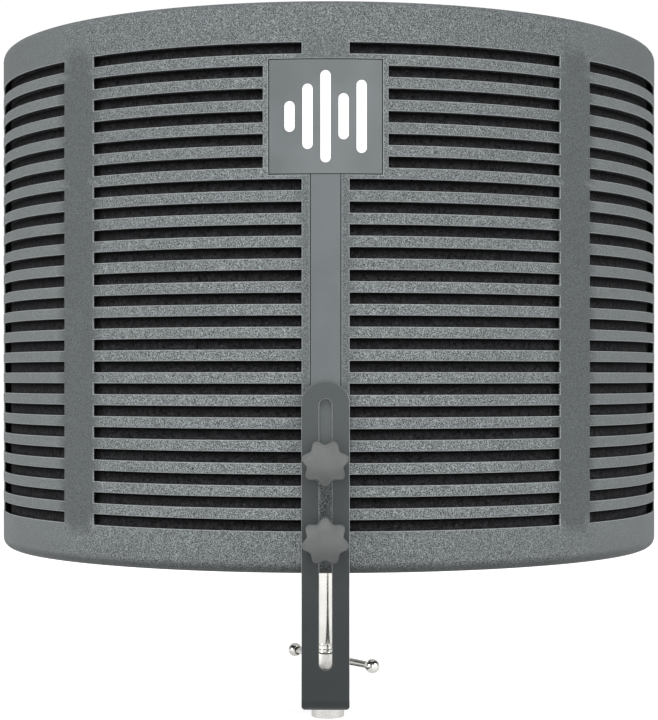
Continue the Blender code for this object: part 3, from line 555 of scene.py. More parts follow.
def lines_between(marks, step):
    """All the marks in order, with even steps between them."""
    marks = sorted(marks)
    out = [marks[0]]
    for a, b in zip(marks, marks[1:]):
        if b - a < 1e-6:
            continue
        n = max(1, math.ceil((b - a) / step - 1e-6))
        out += [a + (b - a) * k / n for k in range(1, n + 1)]
    return out


def row_top(row):
    return Z_TOP - MARGIN - row * PITCH


# Edges of the columns of slots and of the recesses, in degrees from the middle of the back.
COL_IN = deg(STRIP / 2)
COL_OUT = COL_IN + deg(SLOT_L)
SIDE_IN = COL_OUT + deg(STRIP)
SIDE_OUT = SIDE_IN + deg(SLOT_L)
SHORT_IN = deg(SHORT_START)
BADGE_HALF = deg(BADGE_HIGH.x - BADGE_LOW.x + 2 * GROOVE) / 2
INLAY_HALF = deg(INLAY_HIGH.x - INLAY_LOW.x + 2 * GROOVE) / 2


ROUND_STEPS = 6
END_STEPS = 4
SAME = 1e-9
WELD = 1e-6


def end_columns(marks, radius, step):
    """(angle, inset) of each column from one end of the body to the other. The insets round off the ends."""
    end_turn = 90 - deg(END_ROUND, radius)
    turns = [math.radians(90 * k / END_STEPS) for k in range(1, END_STEPS + 1)]
    curl = [(end_turn + deg(END_ROUND, radius) * math.sin(t), END_ROUND * (1 - math.cos(t))) for t in turns]
    right = [(a, 0.0) for a in lines_between([0, end_turn, *marks], step)] + curl
    return [(-a, inset) for a, inset in reversed(right[1:])] + right


def body_sheet(name, nodes, profile, columns, face_r, far_r, is_open, facing, wall):
    """A curved sheet through the profile, as a piece with this wall.

    The profile's face is at face_r, and far_r is where the body's two halves meet. is_open tells where the
    sheet is left out. Its outer side faces -Y (-1) or +Y (1).
    """
    bm = bmesh.new()
    grid = []
    for angle, inset in columns:
        radii = [r + facing * inset * (r - far_r) / (face_r - far_r) for r, _ in profile]
        grid.append([bm.verts.new(arc(r, angle, z)) for r, (_, z) in zip(radii, profile)])
    last = len(profile) - 1
    for i in range(len(columns) - 1):
        for j in range(last):
            mid_a = abs(columns[i][0] + columns[i + 1][0]) / 2
            mid_z = (profile[j][1] + profile[j + 1][1]) / 2
            if profile[j][0] == face_r == profile[j + 1][0] and is_open(mid_a, mid_z):
                continue
            bm.faces.new((grid[i][j], grid[i + 1][j], grid[i + 1][j + 1], grid[i][j + 1]))
    for column, angle in ((grid[0], -90), (grid[-1], 90)):
        far = [bm.verts.new(arc(far_r, angle, z)) for _, z in profile[1:-1]]
        far = [column[0], *far, column[-1]]
        for j in range(last):
            if abs(profile[j][1] - profile[j + 1][1]) < SAME:
                continue
            corners = list(dict.fromkeys((column[j], column[j + 1], far[j + 1], far[j])))
            if len(corners) > 2:
                bm.faces.new(corners)
    bmesh.ops.remove_doubles(bm, verts=bm.verts, dist=WELD)
    bmesh.ops.delete(bm, geom=[v for v in bm.verts if not v.link_faces], context="VERTS")
    bmesh.ops.recalc_face_normals(bm, faces=bm.faces)
    if sum(f.normal.y for f in bm.faces) * facing < 0:
        bmesh.ops.reverse_faces(bm, faces=bm.faces)
    obj = add_mesh(name, mesh_of(name, bm), nodes)
    thick = obj.modifiers.new("wall", "SOLIDIFY")
    thick.thickness = wall
    thick.offset = -1
    thick.use_even_offset = True
    return bake(obj)


def make_shell():
    """The slotted wall as one sheet, thickened inwards. The badge and the inlay lie in openings of it."""
    top_round = quarter(R_OUT - RIM, Z_TOP - RIM, RIM, 0, ROUND_STEPS)[::-1]
    low_round = quarter(R_OUT - RIM, Z_LOW + RIM, RIM, 270, ROUND_STEPS)[::-1]
    zs = [row_top(r) for r in range(ROWS)] + [row_top(r) - SLOT_H for r in range(ROWS)]
    badge_z = (BADGE_Z - BADGE_H / 2 - GROOVE, BADGE_Z + BADGE_H / 2 + GROOVE)
    inlay_z = row_top(INLAY_ROW)
    zs += [*badge_z, inlay_z, Z_TOP - RIM, Z_LOW + RIM]
    wall = [(R_OUT, z) for z in lines_between(zs, SHELL_STEPS[0])[::-1]]
    profile = [(R_PART, Z_TOP), *top_round[:-1], *wall, *low_round[1:], (R_PART, Z_LOW)]
    marks = [COL_IN, COL_OUT, SIDE_IN, SIDE_OUT, SHORT_IN, BADGE_HALF, INLAY_HALF]
    columns = end_columns(marks, R_OUT, SHELL_STEPS[1])

    def is_open(a, z):
        if badge_z[0] < z < badge_z[1] and a < BADGE_HALF:
            return True
        if inlay_z < z < badge_z[0] and a < INLAY_HALF:
            return True
        for row in range(ROWS):
            if row_top(row) - SLOT_H < z < row_top(row):
                start = SHORT_IN if row in SHORT_ROWS else COL_IN
                return start < a < COL_OUT or SIDE_IN < a < SIDE_OUT
        return False

    obj = body_sheet("shell_skin", "outer_shell", profile, columns, R_OUT, R_PART, is_open, -1, SHELL_WALL)
    bevel_slots(obj.data)
    even = obj.modifiers.new("even", "WEIGHTED_NORMAL")
    even.weight = 80
    bake(obj)
    mark_shell(obj.data)
    return obj


def bevel_slots(mesh):
    """Rounds the edges of the slots and recesses on the outer face."""
    bm = bmesh.new()
    bm.from_mesh(mesh)
    near = 0.01 * MM
    face = {v for v in bm.verts if abs(R_OUT - math.hypot(v.co.x, v.co.y - ARC_Y)) < near}
    low, high = Z_LOW + RIM + 1 * MM, Z_TOP - RIM - 1 * MM
    edges = []
    for e in bm.edges:
        if len(e.link_faces) != 2 or not all(v in face and low < v.co.z < high for v in e.verts):
            continue
        if e.calc_face_angle() > math.radians(50):
            edges.append(e)
    bmesh.ops.bevel(bm, geom=edges, offset=SLOT_BEVEL, offset_type="OFFSET", segments=2, profile=0.5,
                    affect="EDGES", clamp_overlap=False)
    for f in bm.faces:
        f.smooth = True
    bm.to_mesh(mesh)
    bm.free()


def shell_tone(a, z):
    """(tone, strength of the grain) of the shell at an angle and a height. Parts of the tone are painted light."""
    rows_low = row_top(ROWS - 1) - SLOT_H - 0.1 * MM
    rows_high = row_top(0) + 0.1 * MM
    smoother = min(1.0, max(0.0, (a - COL_OUT) / 12.0))
    if not rows_low <= z <= rows_high:
        return (0.60 if z > rows_high else 0.74), 0.85 - 0.65 * smoother
    if COL_IN < a < COL_OUT:
        # Painted light: the bars are lighter lower down, as if lit from below.
        lit_lower_down = min(1.0, max(0.0, (Z_TOP - 60 * MM - z) / (150 * MM)))
        return 0.72 + 0.25 * lit_lower_down, 0.85 + 0.15 * lit_lower_down
    if a <= COL_IN:
        # Painted light: below the inlay the middle strip is lighter, against the shade behind the bracket.
        return (0.40, 0.6) if z > row_top(INLAY_ROW) else (1.0, 1.0)
    # Painted light: the outer columns, towards the sides, are lighter, as if lit from the sides.
    if a > SIDE_IN:
        return 0.85, 0.30
    return 0.12, 0.40


def mark_shell(mesh):
    """Fills the shell's layers 'tone', 'grain' and 'edge'. The edges (painted highlight) lie in the middle of the
    bevels.
    """
    last = 90 - deg(END_ROUND) - 0.3
    values = []
    for x, y, z in (v.co for v in mesh.vertices):
        depth = R_OUT - math.hypot(x, y - ARC_Y)
        a = abs(math.degrees(math.atan2(x, ARC_Y - y)))
        on_wall = Z_LOW + RIM < z < Z_TOP - RIM and a < last
        # Painted highlight along the middle of the bevels of the slots and recesses.
        highlight_line = on_wall and 0.04 * MM < depth < SLOT_BEVEL - 0.09 * MM
        # Painted shade: the lower rim darkens towards its bottom edge.
        shade = LOW_RIM_SHADE * min(1.0, max(0.0, (Z_LOW + 6.5 * MM - z) / (4 * MM)))
        values.append((*shell_tone(a, z), 1.0 if highlight_line else -shade))
    for name, layer in zip(("tone", "grain", "edge"), zip(*values)):
        fill_layer(mesh, name, layer)


# ---------------- inner frame and its window
WINDOW = 79.0
WINDOW_EDGE = 20.0 * MM
FRAME_BEVEL = 0.35 * MM
SEAT_R = 3.2 * MM
SEAT_DEPTH = 2.0 * MM


def make_frame():
    """One skin over the two rails and the two ends, with the window for the front absorber."""
    top_round = quarter(R_IN + RIM, Z_TOP - RIM, RIM, 90, ROUND_STEPS)
    low_round = [(r, Z_LOW + Z_TOP - z) for r, z in reversed(top_round)]
    zs = [Z_LOW + RIM, Z_LOW + WINDOW_EDGE, Z_TOP - WINDOW_EDGE, Z_TOP - RIM]
    wall = [(R_IN, z) for z in lines_between(zs, FRAME_STEPS[0])[::-1]]
    profile = [(R_FRAME_OUT, Z_TOP), *top_round[:-1], *wall, *low_round[1:], (R_FRAME_OUT, Z_LOW)]
    columns = end_columns([WINDOW], R_IN, FRAME_STEPS[1])

    def is_open(a, z):
        return a < WINDOW and Z_LOW + WINDOW_EDGE < z < Z_TOP - WINDOW_EDGE

    obj = body_sheet("frame_skin", FRAME_NODES, profile, columns, R_IN, R_FRAME_OUT, is_open, 1, FRAME_WALL)
    seats = bmesh.new()
    for centre, out in SCREWS.values():
        add_cylinder(seats, SEAT_R, 2 * SEAT_DEPTH, along(out, centre), 32)
    cut(obj, temp_object("seats", seats))
    soften(obj, FRAME_BEVEL, 2, 50)
    bake(obj)
    for layer, value in (("tone", 0.5), ("grain", 0.5), ("edge", 0.0)):
        fill_layer(obj.data, layer, [value] * len(obj.data.vertices))
    return obj


def screw_axes():
    """(a point on the frame's inner face, the way out) for each frame screw, from its CAD node."""
    found = {}
    for name in sorted(n for n in frame["nodes"] if n.startswith("frame_screw_")):
        low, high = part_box(name)
        middle = (low + high) / 2
        out = Vector((middle.x, middle.y - ARC_Y, 0)).normalized()
        found[name] = (Vector((0, ARC_Y, middle.z)) + out * R_IN, out)
    return found


SCREWS = screw_axes()


def make_screws():
    """Domed heads with a cross recess, and plain shanks."""
    head_r, shank_r, head_z, shank_z = 2.9 * MM, 1.6 * MM, 1.7 * MM, 34 * MM
    head = [(0, 0.3 * MM), (head_r, 0.55 * MM), (head_r, head_z), (shank_r, head_z)]
    profile = rounded_corners([*head, (shank_r, shank_z), (0, shank_z + 1.5 * MM)], 0.25 * MM)
    reach, half = 1.7 * MM, 0.4 * MM
    arm = [(reach, half), (half, half), (half, reach), (-half, reach), (-half, half), (-reach, half)]
    cross = arm + [(-u, -v) for u, v in arm]
    deep = 1.1 * MM
    for name, (point, out) in SCREWS.items():
        where = along(out, point)
        obj = temp_object("screw", place(lathe(profile, 40), where))
        cut(obj, temp_object("cross", place(prism(cross, lambda u, v, w: (u, v, w), deep), where)))
        promote(obj, name + "_fine", name, sharp=35)


# ---------------- absorbers
REAR_FELT = (195.3 * MM, 188.0 * MM)
FRONT_FELT = (171.6 * MM, 159.0 * MM)
FRONT_BULGE = 1.6 * MM
FELT_HALF = 81
FELT_LOW, FELT_HIGH = Z_LOW + 12.5 * MM, Z_TOP - 12.5 * MM
FELT_EDGE = 2.0 * MM
FELT_ROUGH = 0.12 * MM


def slab(name, stands_for, radii, seed, bulge=0.0, look=None):
    """A soft curved layer with rolled edges. bulge lifts its inner face between the edges of the window."""
    r_out, r_in = radii
    rng = np.random.default_rng(seed)
    wave = rng.normal(size=(6, 4))
    angles = lines_between([-FELT_HALF, FELT_HALF], 1.2)
    heights = lines_between([FELT_LOW, FELT_HIGH], 4.0 * MM)
    middle_z = (FELT_LOW + FELT_HIGH) / 2
    half_window = (Z_TOP - Z_LOW) / 2 - WINDOW_EDGE - 0.5 * MM
    bm = bmesh.new()

    def lumps(a, z):
        total = 0.0
        for k, (size, turn, rise, start) in enumerate(wave):
            total += size * math.sin(turn * a * 0.35 * (1 + k) + rise * z * 260 + start * 5)
        return total / len(wave)

    def lift(a, z):
        across = max(0.0, 1 - (abs(a) / (WINDOW - 0.5)) ** 8)
        return bulge * across * max(0.0, 1 - (abs(z - middle_z) / half_window) ** 8)

    sides = []
    for r, sign in ((r_out, -1), (r_in, 1)):
        grid = []
        for a in angles:
            line = []
            for z in heights:
                d_edge = min((FELT_HALF - abs(a)) / deg(1, r_out), z - FELT_LOW, FELT_HIGH - z)
                roll = FELT_EDGE * (1 - math.sqrt(max(0.0, 1 - (1 - min(1.0, d_edge / FELT_EDGE)) ** 2)))
                push = sign * (roll + FELT_ROUGH * (lumps(a, z) + 0.5 * rng.normal()))
                if sign == 1 and bulge:
                    push -= lift(a, z)
                line.append(bm.verts.new(arc(r + push, a, z)))
            grid.append(line)
        sides.append(grid)
    outer, inner = sides
    n, m = len(angles), len(heights)
    for i in range(n - 1):
        for j in range(m - 1):
            bm.faces.new((outer[i][j], outer[i + 1][j], outer[i + 1][j + 1], outer[i][j + 1]))
            bm.faces.new((inner[i][j], inner[i][j + 1], inner[i + 1][j + 1], inner[i + 1][j]))
    rim = [(i, 0) for i in range(n)] + [(n - 1, j) for j in range(1, m)]
    rim += [(i, m - 1) for i in range(n - 2, -1, -1)] + [(0, j) for j in range(m - 2, 0, -1)]
    for (a, b), (c, d) in zip(rim, rim[1:] + rim[:1]):
        bm.faces.new((outer[a][b], inner[a][b], inner[c][d], outer[c][d]))
    obj = add_piece(name, bm, stands_for, look=look)
    return obj


# ---------------- badge and inlay
PLATE_T = 2.4 * MM
PLATE_BEVEL = 0.25 * MM


def plate(name, stands_for, look=None, facets=24):
    """A curved plate in the box of its CAD node, level with the shell's face."""
    low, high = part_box(stands_for)
    half = deg(high.x - low.x) / 2
    angles = lines_between([-half, half], 2 * half / facets)
    bm = bmesh.new()
    front = [[bm.verts.new(arc(R_OUT, a, z)) for z in (low.z, high.z)] for a in angles]
    back = [[bm.verts.new(arc(R_OUT - PLATE_T, a, z)) for z in (low.z, high.z)] for a in angles]
    for i in range(len(angles) - 1):
        bm.faces.new((front[i][0], front[i + 1][0], front[i + 1][1], front[i][1]))
        bm.faces.new((back[i][0], back[i][1], back[i + 1][1], back[i + 1][0]))
        bm.faces.new((front[i][0], back[i][0], back[i + 1][0], front[i + 1][0]))
        bm.faces.new((front[i][1], front[i + 1][1], back[i + 1][1], back[i][1]))
    for i in (0, -1):
        bm.faces.new((front[i][0], front[i][1], back[i][1], back[i][0]))
    obj = add_piece(name, bm, stands_for, look=look)
    soften(obj, PLATE_BEVEL, 3, 40)
    return bake(obj)


def emblem_bars():
    """The bars' boxes along the face, from the emblem's CAD node: its vertices proud of the badge."""
    proud = []
    for v in frame["nodes"]["badge_emblem"].data.vertices:
        r = math.hypot(v.co.x, v.co.y - ARC_Y)
        if r > R_OUT - 0.2 * MM:
            proud.append((math.degrees(math.atan2(v.co.x, ARC_Y - v.co.y)), v.co.z))
    bars = {}
    widest = deg(6.2 * MM)
    for a, z in sorted(proud):
        key = next((k for k in bars if abs(k - a) < widest), a)
        bars.setdefault(key, []).append((a, z))
    found = []
    for points in bars.values():
        angles, heights = zip(*points)
        found.append((min(angles), max(angles), min(heights), max(heights)))
    return found


def make_emblem():
    """Level-meter bars with round ends, as one piece let into the badge."""
    bm = bmesh.new()
    r_face, r_back = R_OUT + 0.25 * MM, R_OUT - 1.1 * MM
    rings = ((r_back, 0.0), (r_face - 0.2 * MM, 0.0), (r_face - 0.06 * MM, 0.08 * MM), (r_face, 0.25 * MM))
    for a0, a1, z0, z1 in emblem_bars():
        w = math.radians(a1 - a0) * R_OUT / 2
        mid, zc, tall = (a0 + a1) / 2, (z0 + z1) / 2, (z1 - z0) / 2
        outline = round_slot(z0, z1, 2 * w, 16)
        loops = []
        for r, shrink in rings:
            across, up = 1 - shrink / w, 1 - shrink / tall
            points = [arc(r, mid + deg(x * across), zc + (z - zc) * up) for x, z in outline]
            loops.append([bm.verts.new(point) for point in points])
        skin_rows(bm, loops)
        bm.faces.new(loops[-1])
        bm.faces.new(list(reversed(loops[0])))
    return add_piece("emblem_bars", bm, "badge_emblem", sharp=50)


# ---------------- bracket
def prism(points, plane, depth):
    """A flat outline in a plane, with this depth to each side of it. plane takes (u, v, w) to a point."""
    bm = bmesh.new()
    a = [bm.verts.new(plane(u, v, -depth)) for u, v in points]
    b = [bm.verts.new(plane(u, v, depth)) for u, v in points]
    bm.faces.new(a)
    bm.faces.new(list(reversed(b)))
    skin_rows(bm, [a, b])
    return bm


def round_slot(low, high, width, steps=10):
    """The outline of an upright slot with round ends."""
    w = width / 2
    turns = [math.pi * k / steps for k in range(steps + 1)]
    top = [(w * math.cos(t), high - w + w * math.sin(t)) for t in turns]
    return top + [(w * math.cos(math.pi + t), low + w + w * math.sin(math.pi + t)) for t in turns]


BRACKET_T = 3.0 * MM
BEND_R = 6.0 * MM
END_R = 13.0 * MM
CORNER_R = 2.6 * MM
BRACKET_BEVEL = 0.62 * MM
# The slots' ends and width.
HEIGHT_SLOT = (45.4 * MM, 186.1 * MM, 6.6 * MM)
REACH_SLOT = (-51.0 * MM, 31.0 * MM, 10.8 * MM)


def make_bracket():
    t = BRACKET_T
    front, flange, end_y, top = BRACKET_LOW.y, BRACKET_LOW.z, BRACKET_HIGH.y, BRACKET_HIGH.z
    half = (BRACKET_HIGH.x - BRACKET_LOW.x) / 2
    cy, cz = front + BEND_R, flange + BEND_R
    outer = quarter(cy, cz, BEND_R, 180, 10)
    inner = quarter(cy, cz, BEND_R - t, 180, 10)
    side = [(front, top), *outer, (end_y, flange), (end_y, flange + t), *reversed(inner), (front + t, top)]
    obj = temp_object("bracket_skin", prism(side, lambda u, v, w: (w, u, v), half))

    def upright(u, v, w):
        return (u, front + t / 2 + w, v)

    def level(u, v, w):
        return (u, v, flange + t / 2 + w)

    def across(u, v, w):
        return (u, w, v)

    shoulder = math.acos(half / END_R)
    turns = np.linspace(shoulder, math.pi - shoulder, 33)
    round_end = [(END_R * math.cos(a), top - END_R + END_R * math.sin(a)) for a in turns]
    wide, above, through = half + 3 * MM, top + 5 * MM, 3 * t
    hair = 0.001 * MM
    left_low, right_low = round_end[-1][1] - hair, round_end[0][1] - hair
    cap = [(wide, right_low), *round_end, (-wide, left_low), (-wide, above), (wide, above)]
    cut(obj, temp_object("cap", prism(cap, upright, through)))
    cut(obj, temp_object("slot", prism(round_slot(*HEIGHT_SLOT), upright, through)))
    cut(obj, temp_object("reach", prism(round_slot(*REACH_SLOT), level, through)))
    piece = promote(obj, "bracket_skin", "bracket")
    soften(piece, BRACKET_BEVEL, 3, 40).harden_normals = False
    bake(piece)
    middle_x, middle_z = half - CORNER_R, flange + CORNER_R
    corner = quarter(middle_x, middle_z, CORNER_R, 270, 8)[::-1]
    under, past_flange = flange - 2 * MM, 200 * MM
    outline = [(wide, middle_z), *corner, (middle_x, under), (wide, under)]
    for sign in (-1, 1):
        cut(piece, temp_object("corner", prism([(sign * u, v) for u, v in outline], across, past_flange)))
    mark_edges(piece.data, cy, cz)
    return piece


def mark_edges(mesh, bend_y, bend_z):
    """Shades the flat faces flat, and marks the middle of the bevels in the layer 'edge' for a painted highlight.
    """
    on_face = [False] * len(mesh.vertices)
    for f in mesh.polygons:
        nx, ny, nz = (abs(c) for c in f.normal)
        upright = f.center.z > bend_z
        flange = f.center.y > bend_y
        if nx > 0.999:
            main = True
        elif upright:
            main = ny > 0.999 or ny < 0.001
        elif flange:
            main = nz > 0.999 or nz < 0.001
        else:
            main = nx < 0.001
        f.use_smooth = not (main and max(nx, ny, nz) > 0.999 and f.area > 12 * MM * MM)
        if main:
            for v in f.vertices:
                on_face[v] = True
    highlight_share = []
    for v, flat in zip(mesh.vertices, on_face):
        # The painted highlight is weaker on the left edges, faint below the bend, and fades where the edges face
        # up.
        side = 0.7 if v.co.x < -10 * MM else 1.0
        if v.co.z < bend_z:
            side *= 0.15
        highlight_share.append(0.0 if flat else side * (1 - min(1.0, 1.25 * max(0.0, v.normal.z))))
    fill_layer(mesh, "edge", highlight_share)


# ---------------- knobs
KNOB_LOBES = 7
KNOB_R = 11.12 * MM
KNOB_DEPTH = 1.33 * MM
KNOB_CROWN = 4.0 * MM
KNOB_ROUND = 1.7 * MM
HUB_R = 6.6 * MM
HUB_LENGTH = 4.5 * MM
KNOB_BORE = 3.25 * MM


def make_knob(which, first_lobe):
    """A lobed knob on a hub, with a domed face."""
    low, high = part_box(f"knob_{which}")
    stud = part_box(f"knob_stud_{which}")
    centre_z = (stud[0].z + stud[1].z) / 2
    back, face = high.y, low.y
    grip = back - HUB_LENGTH
    n = KNOB_LOBES * 24
    bm = bmesh.new()

    def crown_y(r):
        return face + KNOB_CROWN * (r / (KNOB_R + KNOB_DEPTH)) ** 2

    def ring(radius_at, y_at):
        row = []
        for k in range(n):
            t = 2 * math.pi * k / n
            full = KNOB_R + KNOB_DEPTH * math.cos(KNOB_LOBES * t)
            r = radius_at(full)
            a = t + math.radians(first_lobe)
            row.append(bm.verts.new((r * math.cos(a), y_at(full, r), centre_z + r * math.sin(a))))
        return row

    def plain(radius, y):
        return ring(lambda full: radius, lambda full, r: y)

    def lobed(inset, y):
        return ring(lambda full: full - inset, lambda full, r: y)

    rows = [plain(KNOB_BORE, back - (back - face) * 0.6), plain(KNOB_BORE, back)]
    rows += [plain(HUB_R - 0.4 * MM, back), plain(HUB_R, back - 0.4 * MM)]
    rows += [plain(HUB_R, grip + 0.6 * MM), plain(HUB_R + 0.6 * MM, grip)]
    rows += [lobed(1.2 * MM, grip), lobed(0.35 * MM, grip - 0.35 * MM), lobed(0.0, grip - 1.2 * MM)]
    for k in range(9):
        turn = math.radians(90 * k / 8)
        inset, lift = KNOB_ROUND * (1 - math.cos(turn)), KNOB_ROUND * (1 - math.sin(turn))
        rows.append(ring(lambda full: full - inset, lambda full, r: crown_y(full - KNOB_ROUND) + lift))
    for k in range(1, 8):
        rows.append(ring(lambda full: (full - KNOB_ROUND) * (1 - k / 8), lambda full, r: crown_y(r)))
    skin_rows(bm, rows)
    tip = bm.verts.new((0, face, centre_z))
    for k in range(n):
        bm.faces.new((rows[-1][k], rows[-1][(k + 1) % n], tip))
    bm.faces.new(list(reversed(rows[0])))
    obj = add_piece(f"knob_{which}_fine", bm, f"knob_{which}", sharp=60)
    # The layer 'tone' is painted shade: darker on the lower part of the knob and a little at the top.
    tone = []
    for v in obj.data.vertices:
        up = (v.co.z - centre_z) / (KNOB_R + KNOB_DEPTH)
        tone.append(min(1.0, max(0.0, 1.0 - 0.9 * max(0.0, -up - 0.1) - 0.5 * max(0.0, up - 0.3))))
    fill_layer(obj.data, "tone", tone)
    return obj


# ---------------- turned pieces
def thread(bm, radius, depth, pitch, z0, z1, sides=48, per_turn=8):
    """The rows of a screw thread's surface, as lists of vertices from z0 up to z1."""
    rows = []
    count = max(2, int((z1 - z0) / pitch * per_turn))
    for j in range(count + 1):
        z = z0 + (z1 - z0) * j / count
        row = []
        fade = min(1.0, (z - z0) / pitch, (z1 - z) / pitch)
        for k in range(sides):
            t = 2 * math.pi * k / sides
            phase = ((z - z0) / pitch - k / sides) % 1.0
            tooth = abs(2 * phase - 1)
            r = radius - depth * (1 - tooth) * max(0.0, fade)
            row.append(bm.verts.new((r * math.cos(t), r * math.sin(t), z)))
        rows.append(row)
    return rows


THREAD_DEPTH = 0.45 * MM
STAND_PITCH = 0.94 * MM
STUD_PITCH = 1.0 * MM
POST_BORE = 5.6 * MM


def make_socket():
    """The stand socket, with its inner thread."""
    low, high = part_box("stand_socket")
    r, top = (high.x - low.x) / 2, high.z
    core, end_r, end_z = 7.95 * MM, 7.6 * MM, 15.0 * MM
    bm = bmesh.new()
    rows = [ring_row(bm, core, 0.0), *thread(bm, core, THREAD_DEPTH, STAND_PITCH, 0.05 * MM, 14.6 * MM)]
    for radius, z in (
        (end_r, end_z), (POST_BORE, end_z), (POST_BORE, top),
        (r - 0.8 * MM, top), (r - 0.5 * MM, top - 0.12 * MM), (r, top - 0.8 * MM),
        (r, 0.7 * MM), (r - 0.12 * MM, 0.3 * MM), (r - 0.5 * MM, 0.0),
    ):
        rows.append(ring_row(bm, radius, z))
    skin_rows(bm, rows, True)
    return add_piece("stand_socket_fine", bm, "stand_socket", look="nickel_frosted", sharp=35)


def make_washer(name):
    low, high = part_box(name)
    size = high - low
    r = size.x / 2
    if size.y < min(size.z, 3 * MM):
        t, bore = size.y, 3.3 * MM
        matrix = along((0, 1, 0), (0, low.y, (low.z + high.z) / 2))
    else:
        t, bore = size.z, POST_BORE
        matrix = along((0, 0, 1), (0, 0, low.z))
    profile = rounded_corners([(r, t), (r, 0), (bore, 0), (bore, t)], 0.2 * MM)
    return add_piece(name + "_fine", place(lathe(profile, 64), matrix), name, sharp=50)


def make_stud(which):
    name = f"knob_stud_{which}"
    low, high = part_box(name)
    length, r, sides = high.y - low.y, 3.0 * MM, 32
    bm = bmesh.new()
    rows = [ring_row(bm, r, 0, sides)]
    rows += thread(bm, r, THREAD_DEPTH, STUD_PITCH, 0.3 * MM, length - 0.7 * MM, sides)
    rows.append(ring_row(bm, r - 0.6 * MM, length, sides))
    skin_rows(bm, rows)
    bm.faces.new(rows[0])
    bm.faces.new(rows[-1])
    place(bm, along((0, 1, 0), (0, low.y, (low.z + high.z) / 2)))
    return add_piece(name + "_fine", bm, name, sharp=50)


def bar_frame():
    """A matrix that takes Z to the cross bar's axis, and the origin to its middle in the post."""
    axis = next(j["axis"] for j in frame["joints"] if j["name"] == "cross_bar_slide")
    low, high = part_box("t_bar")
    return along(Vector(axis).normalized(), (0, 0, (low.z + high.z) / 2))


def make_post():
    """Collar, turned grooves, rod and top thread. The collar has the cross bar's hole and a frosted band."""
    low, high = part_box("mic_post")
    top, sides = high.z, 64
    collar_r, collar_low, neck = (high.x - low.x) / 2, 28.8 * MM, 38.0 * MM
    groove, ring, rod, foot_r = 7.1 * MM, 9.1 * MM, 8.5 * MM, 5.0 * MM
    thread_r, thread_low, tip_r = 7.9 * MM, 138.6 * MM, 6.9 * MM
    steps = [(foot_r - 0.6 * MM, low.z), (foot_r, low.z + 0.6 * MM), (foot_r, collar_low)]
    steps += [
        (collar_r - 0.5 * MM, collar_low), (collar_r - 0.15 * MM, collar_low + 0.15 * MM),
        (collar_r, collar_low + 0.5 * MM), (collar_r, neck - 0.6 * MM),
        (collar_r - 0.18 * MM, neck - 0.18 * MM), (collar_r - 0.6 * MM, neck), (groove, neck),
    ]
    edge = ring - 0.1 * MM
    # Two turned rings between the grooves, in millimetres above the neck.
    for low_z, high_z, back in ((0.5, 1.6, 0.3), (3.3, 4.3, 0.2)):
        heights = (low_z, low_z + 0.2, low_z + 0.3, high_z, high_z + 0.1, high_z + 0.1 + back)
        steps += [(r, neck + z * MM) for r, z in zip((groove, edge, ring, ring, edge, groove), heights)]
    steps += [
        (groove, neck + 5.0 * MM), (rod - 0.1 * MM, neck + 5.2 * MM), (rod, neck + 5.5 * MM),
        (rod, 137.6 * MM), (8.1 * MM, 138.0 * MM), (thread_r, 138.2 * MM),
    ]
    bm = bmesh.new()
    rows = [ring_row(bm, r, z, sides) for r, z in steps]
    rows += thread(bm, thread_r, THREAD_DEPTH, STAND_PITCH, thread_low, top - 1.0 * MM, sides)
    rows.append(ring_row(bm, tip_r, top, sides))
    skin_rows(bm, rows)
    bm.faces.new(rows[0])
    bm.faces.new(rows[-1])
    obj = temp_object("post", bm)
    hole = bmesh.new()
    hole_r, hole_length = 2.3 * MM, 30 * MM
    add_cylinder(hole, hole_r, hole_length, bar_frame(), 40)
    cut(obj, temp_object("hole", hole))
    piece = promote(obj, "mic_post_fine", "mic_post", sharp=35)
    piece.data.materials.append(MATS["nickel_frosted"])
    for f in piece.data.polygons:
        r = math.hypot(f.center.x, f.center.y)
        if collar_low + 0.4 * MM < f.center.z < neck - 0.5 * MM and r > collar_r - 1.0 * MM:
            f.material_index = 1
    return piece


def make_t_bar():
    """The cross bar and its two balls, which have a short neck and a flat end."""
    left, right = (sum(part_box(f"t_bar_ball_{s}"), Vector()) / 2 for s in ("left", "right"))
    start, end = -left.xy.length, right.xy.length
    matrix = bar_frame()
    bar_r, inset, ball_r, flat = 2 * MM, 0.3 * MM, 4.0 * MM, 3.7 * MM
    profile = [(0, start + inset), (bar_r, start + inset), (bar_r, end - inset), (0, end - inset)]
    add_piece("t_bar_fine", place(lathe(rounded_corners(profile, 0.2 * MM), 48), matrix), "t_bar", sharp=50)
    turns = [math.radians(180 - 180 * k / 24) for k in range(2, 24)]
    ball = [(ball_r * math.sin(a), max(-flat, ball_r * math.cos(a))) for a in turns]
    ball = [(r, z) for r, z in ball if -2.95 * MM < z < 3.6 * MM]
    # The neck's (radius, z) in millimetres.
    neck = [(2.3, 0.0), (2.3, -3.4), (2.75, -3.7), (2.8, -3.25), (2.55, -3.05)]
    profile = [(0, 0.0), *[(r * MM, z * MM) for r, z in neck], *ball, (1.4 * MM, flat), (0, flat)]
    for side, at, turn in (("left", start, math.pi), ("right", end, 0.0)):
        where = matrix @ Matrix.Translation((0, 0, at)) @ Matrix.Rotation(turn, 4, "X")
        name = f"t_bar_ball_{side}"
        add_piece(name + "_fine", place(lathe(profile, 48), where), name, sharp=40)


# ---------------- stage
def area_light(name, location, target, size, energy, height=None):
    data = bpy.data.lights.new(name, "AREA")
    data.energy = energy
    data.shape = "RECTANGLE"
    data.size = size
    data.size_y = height or size
    obj = new_object(name, data)
    obj.location = location
    obj.rotation_euler = (Vector(target) - Vector(location)).to_track_quat("-Z", "Y").to_euler()


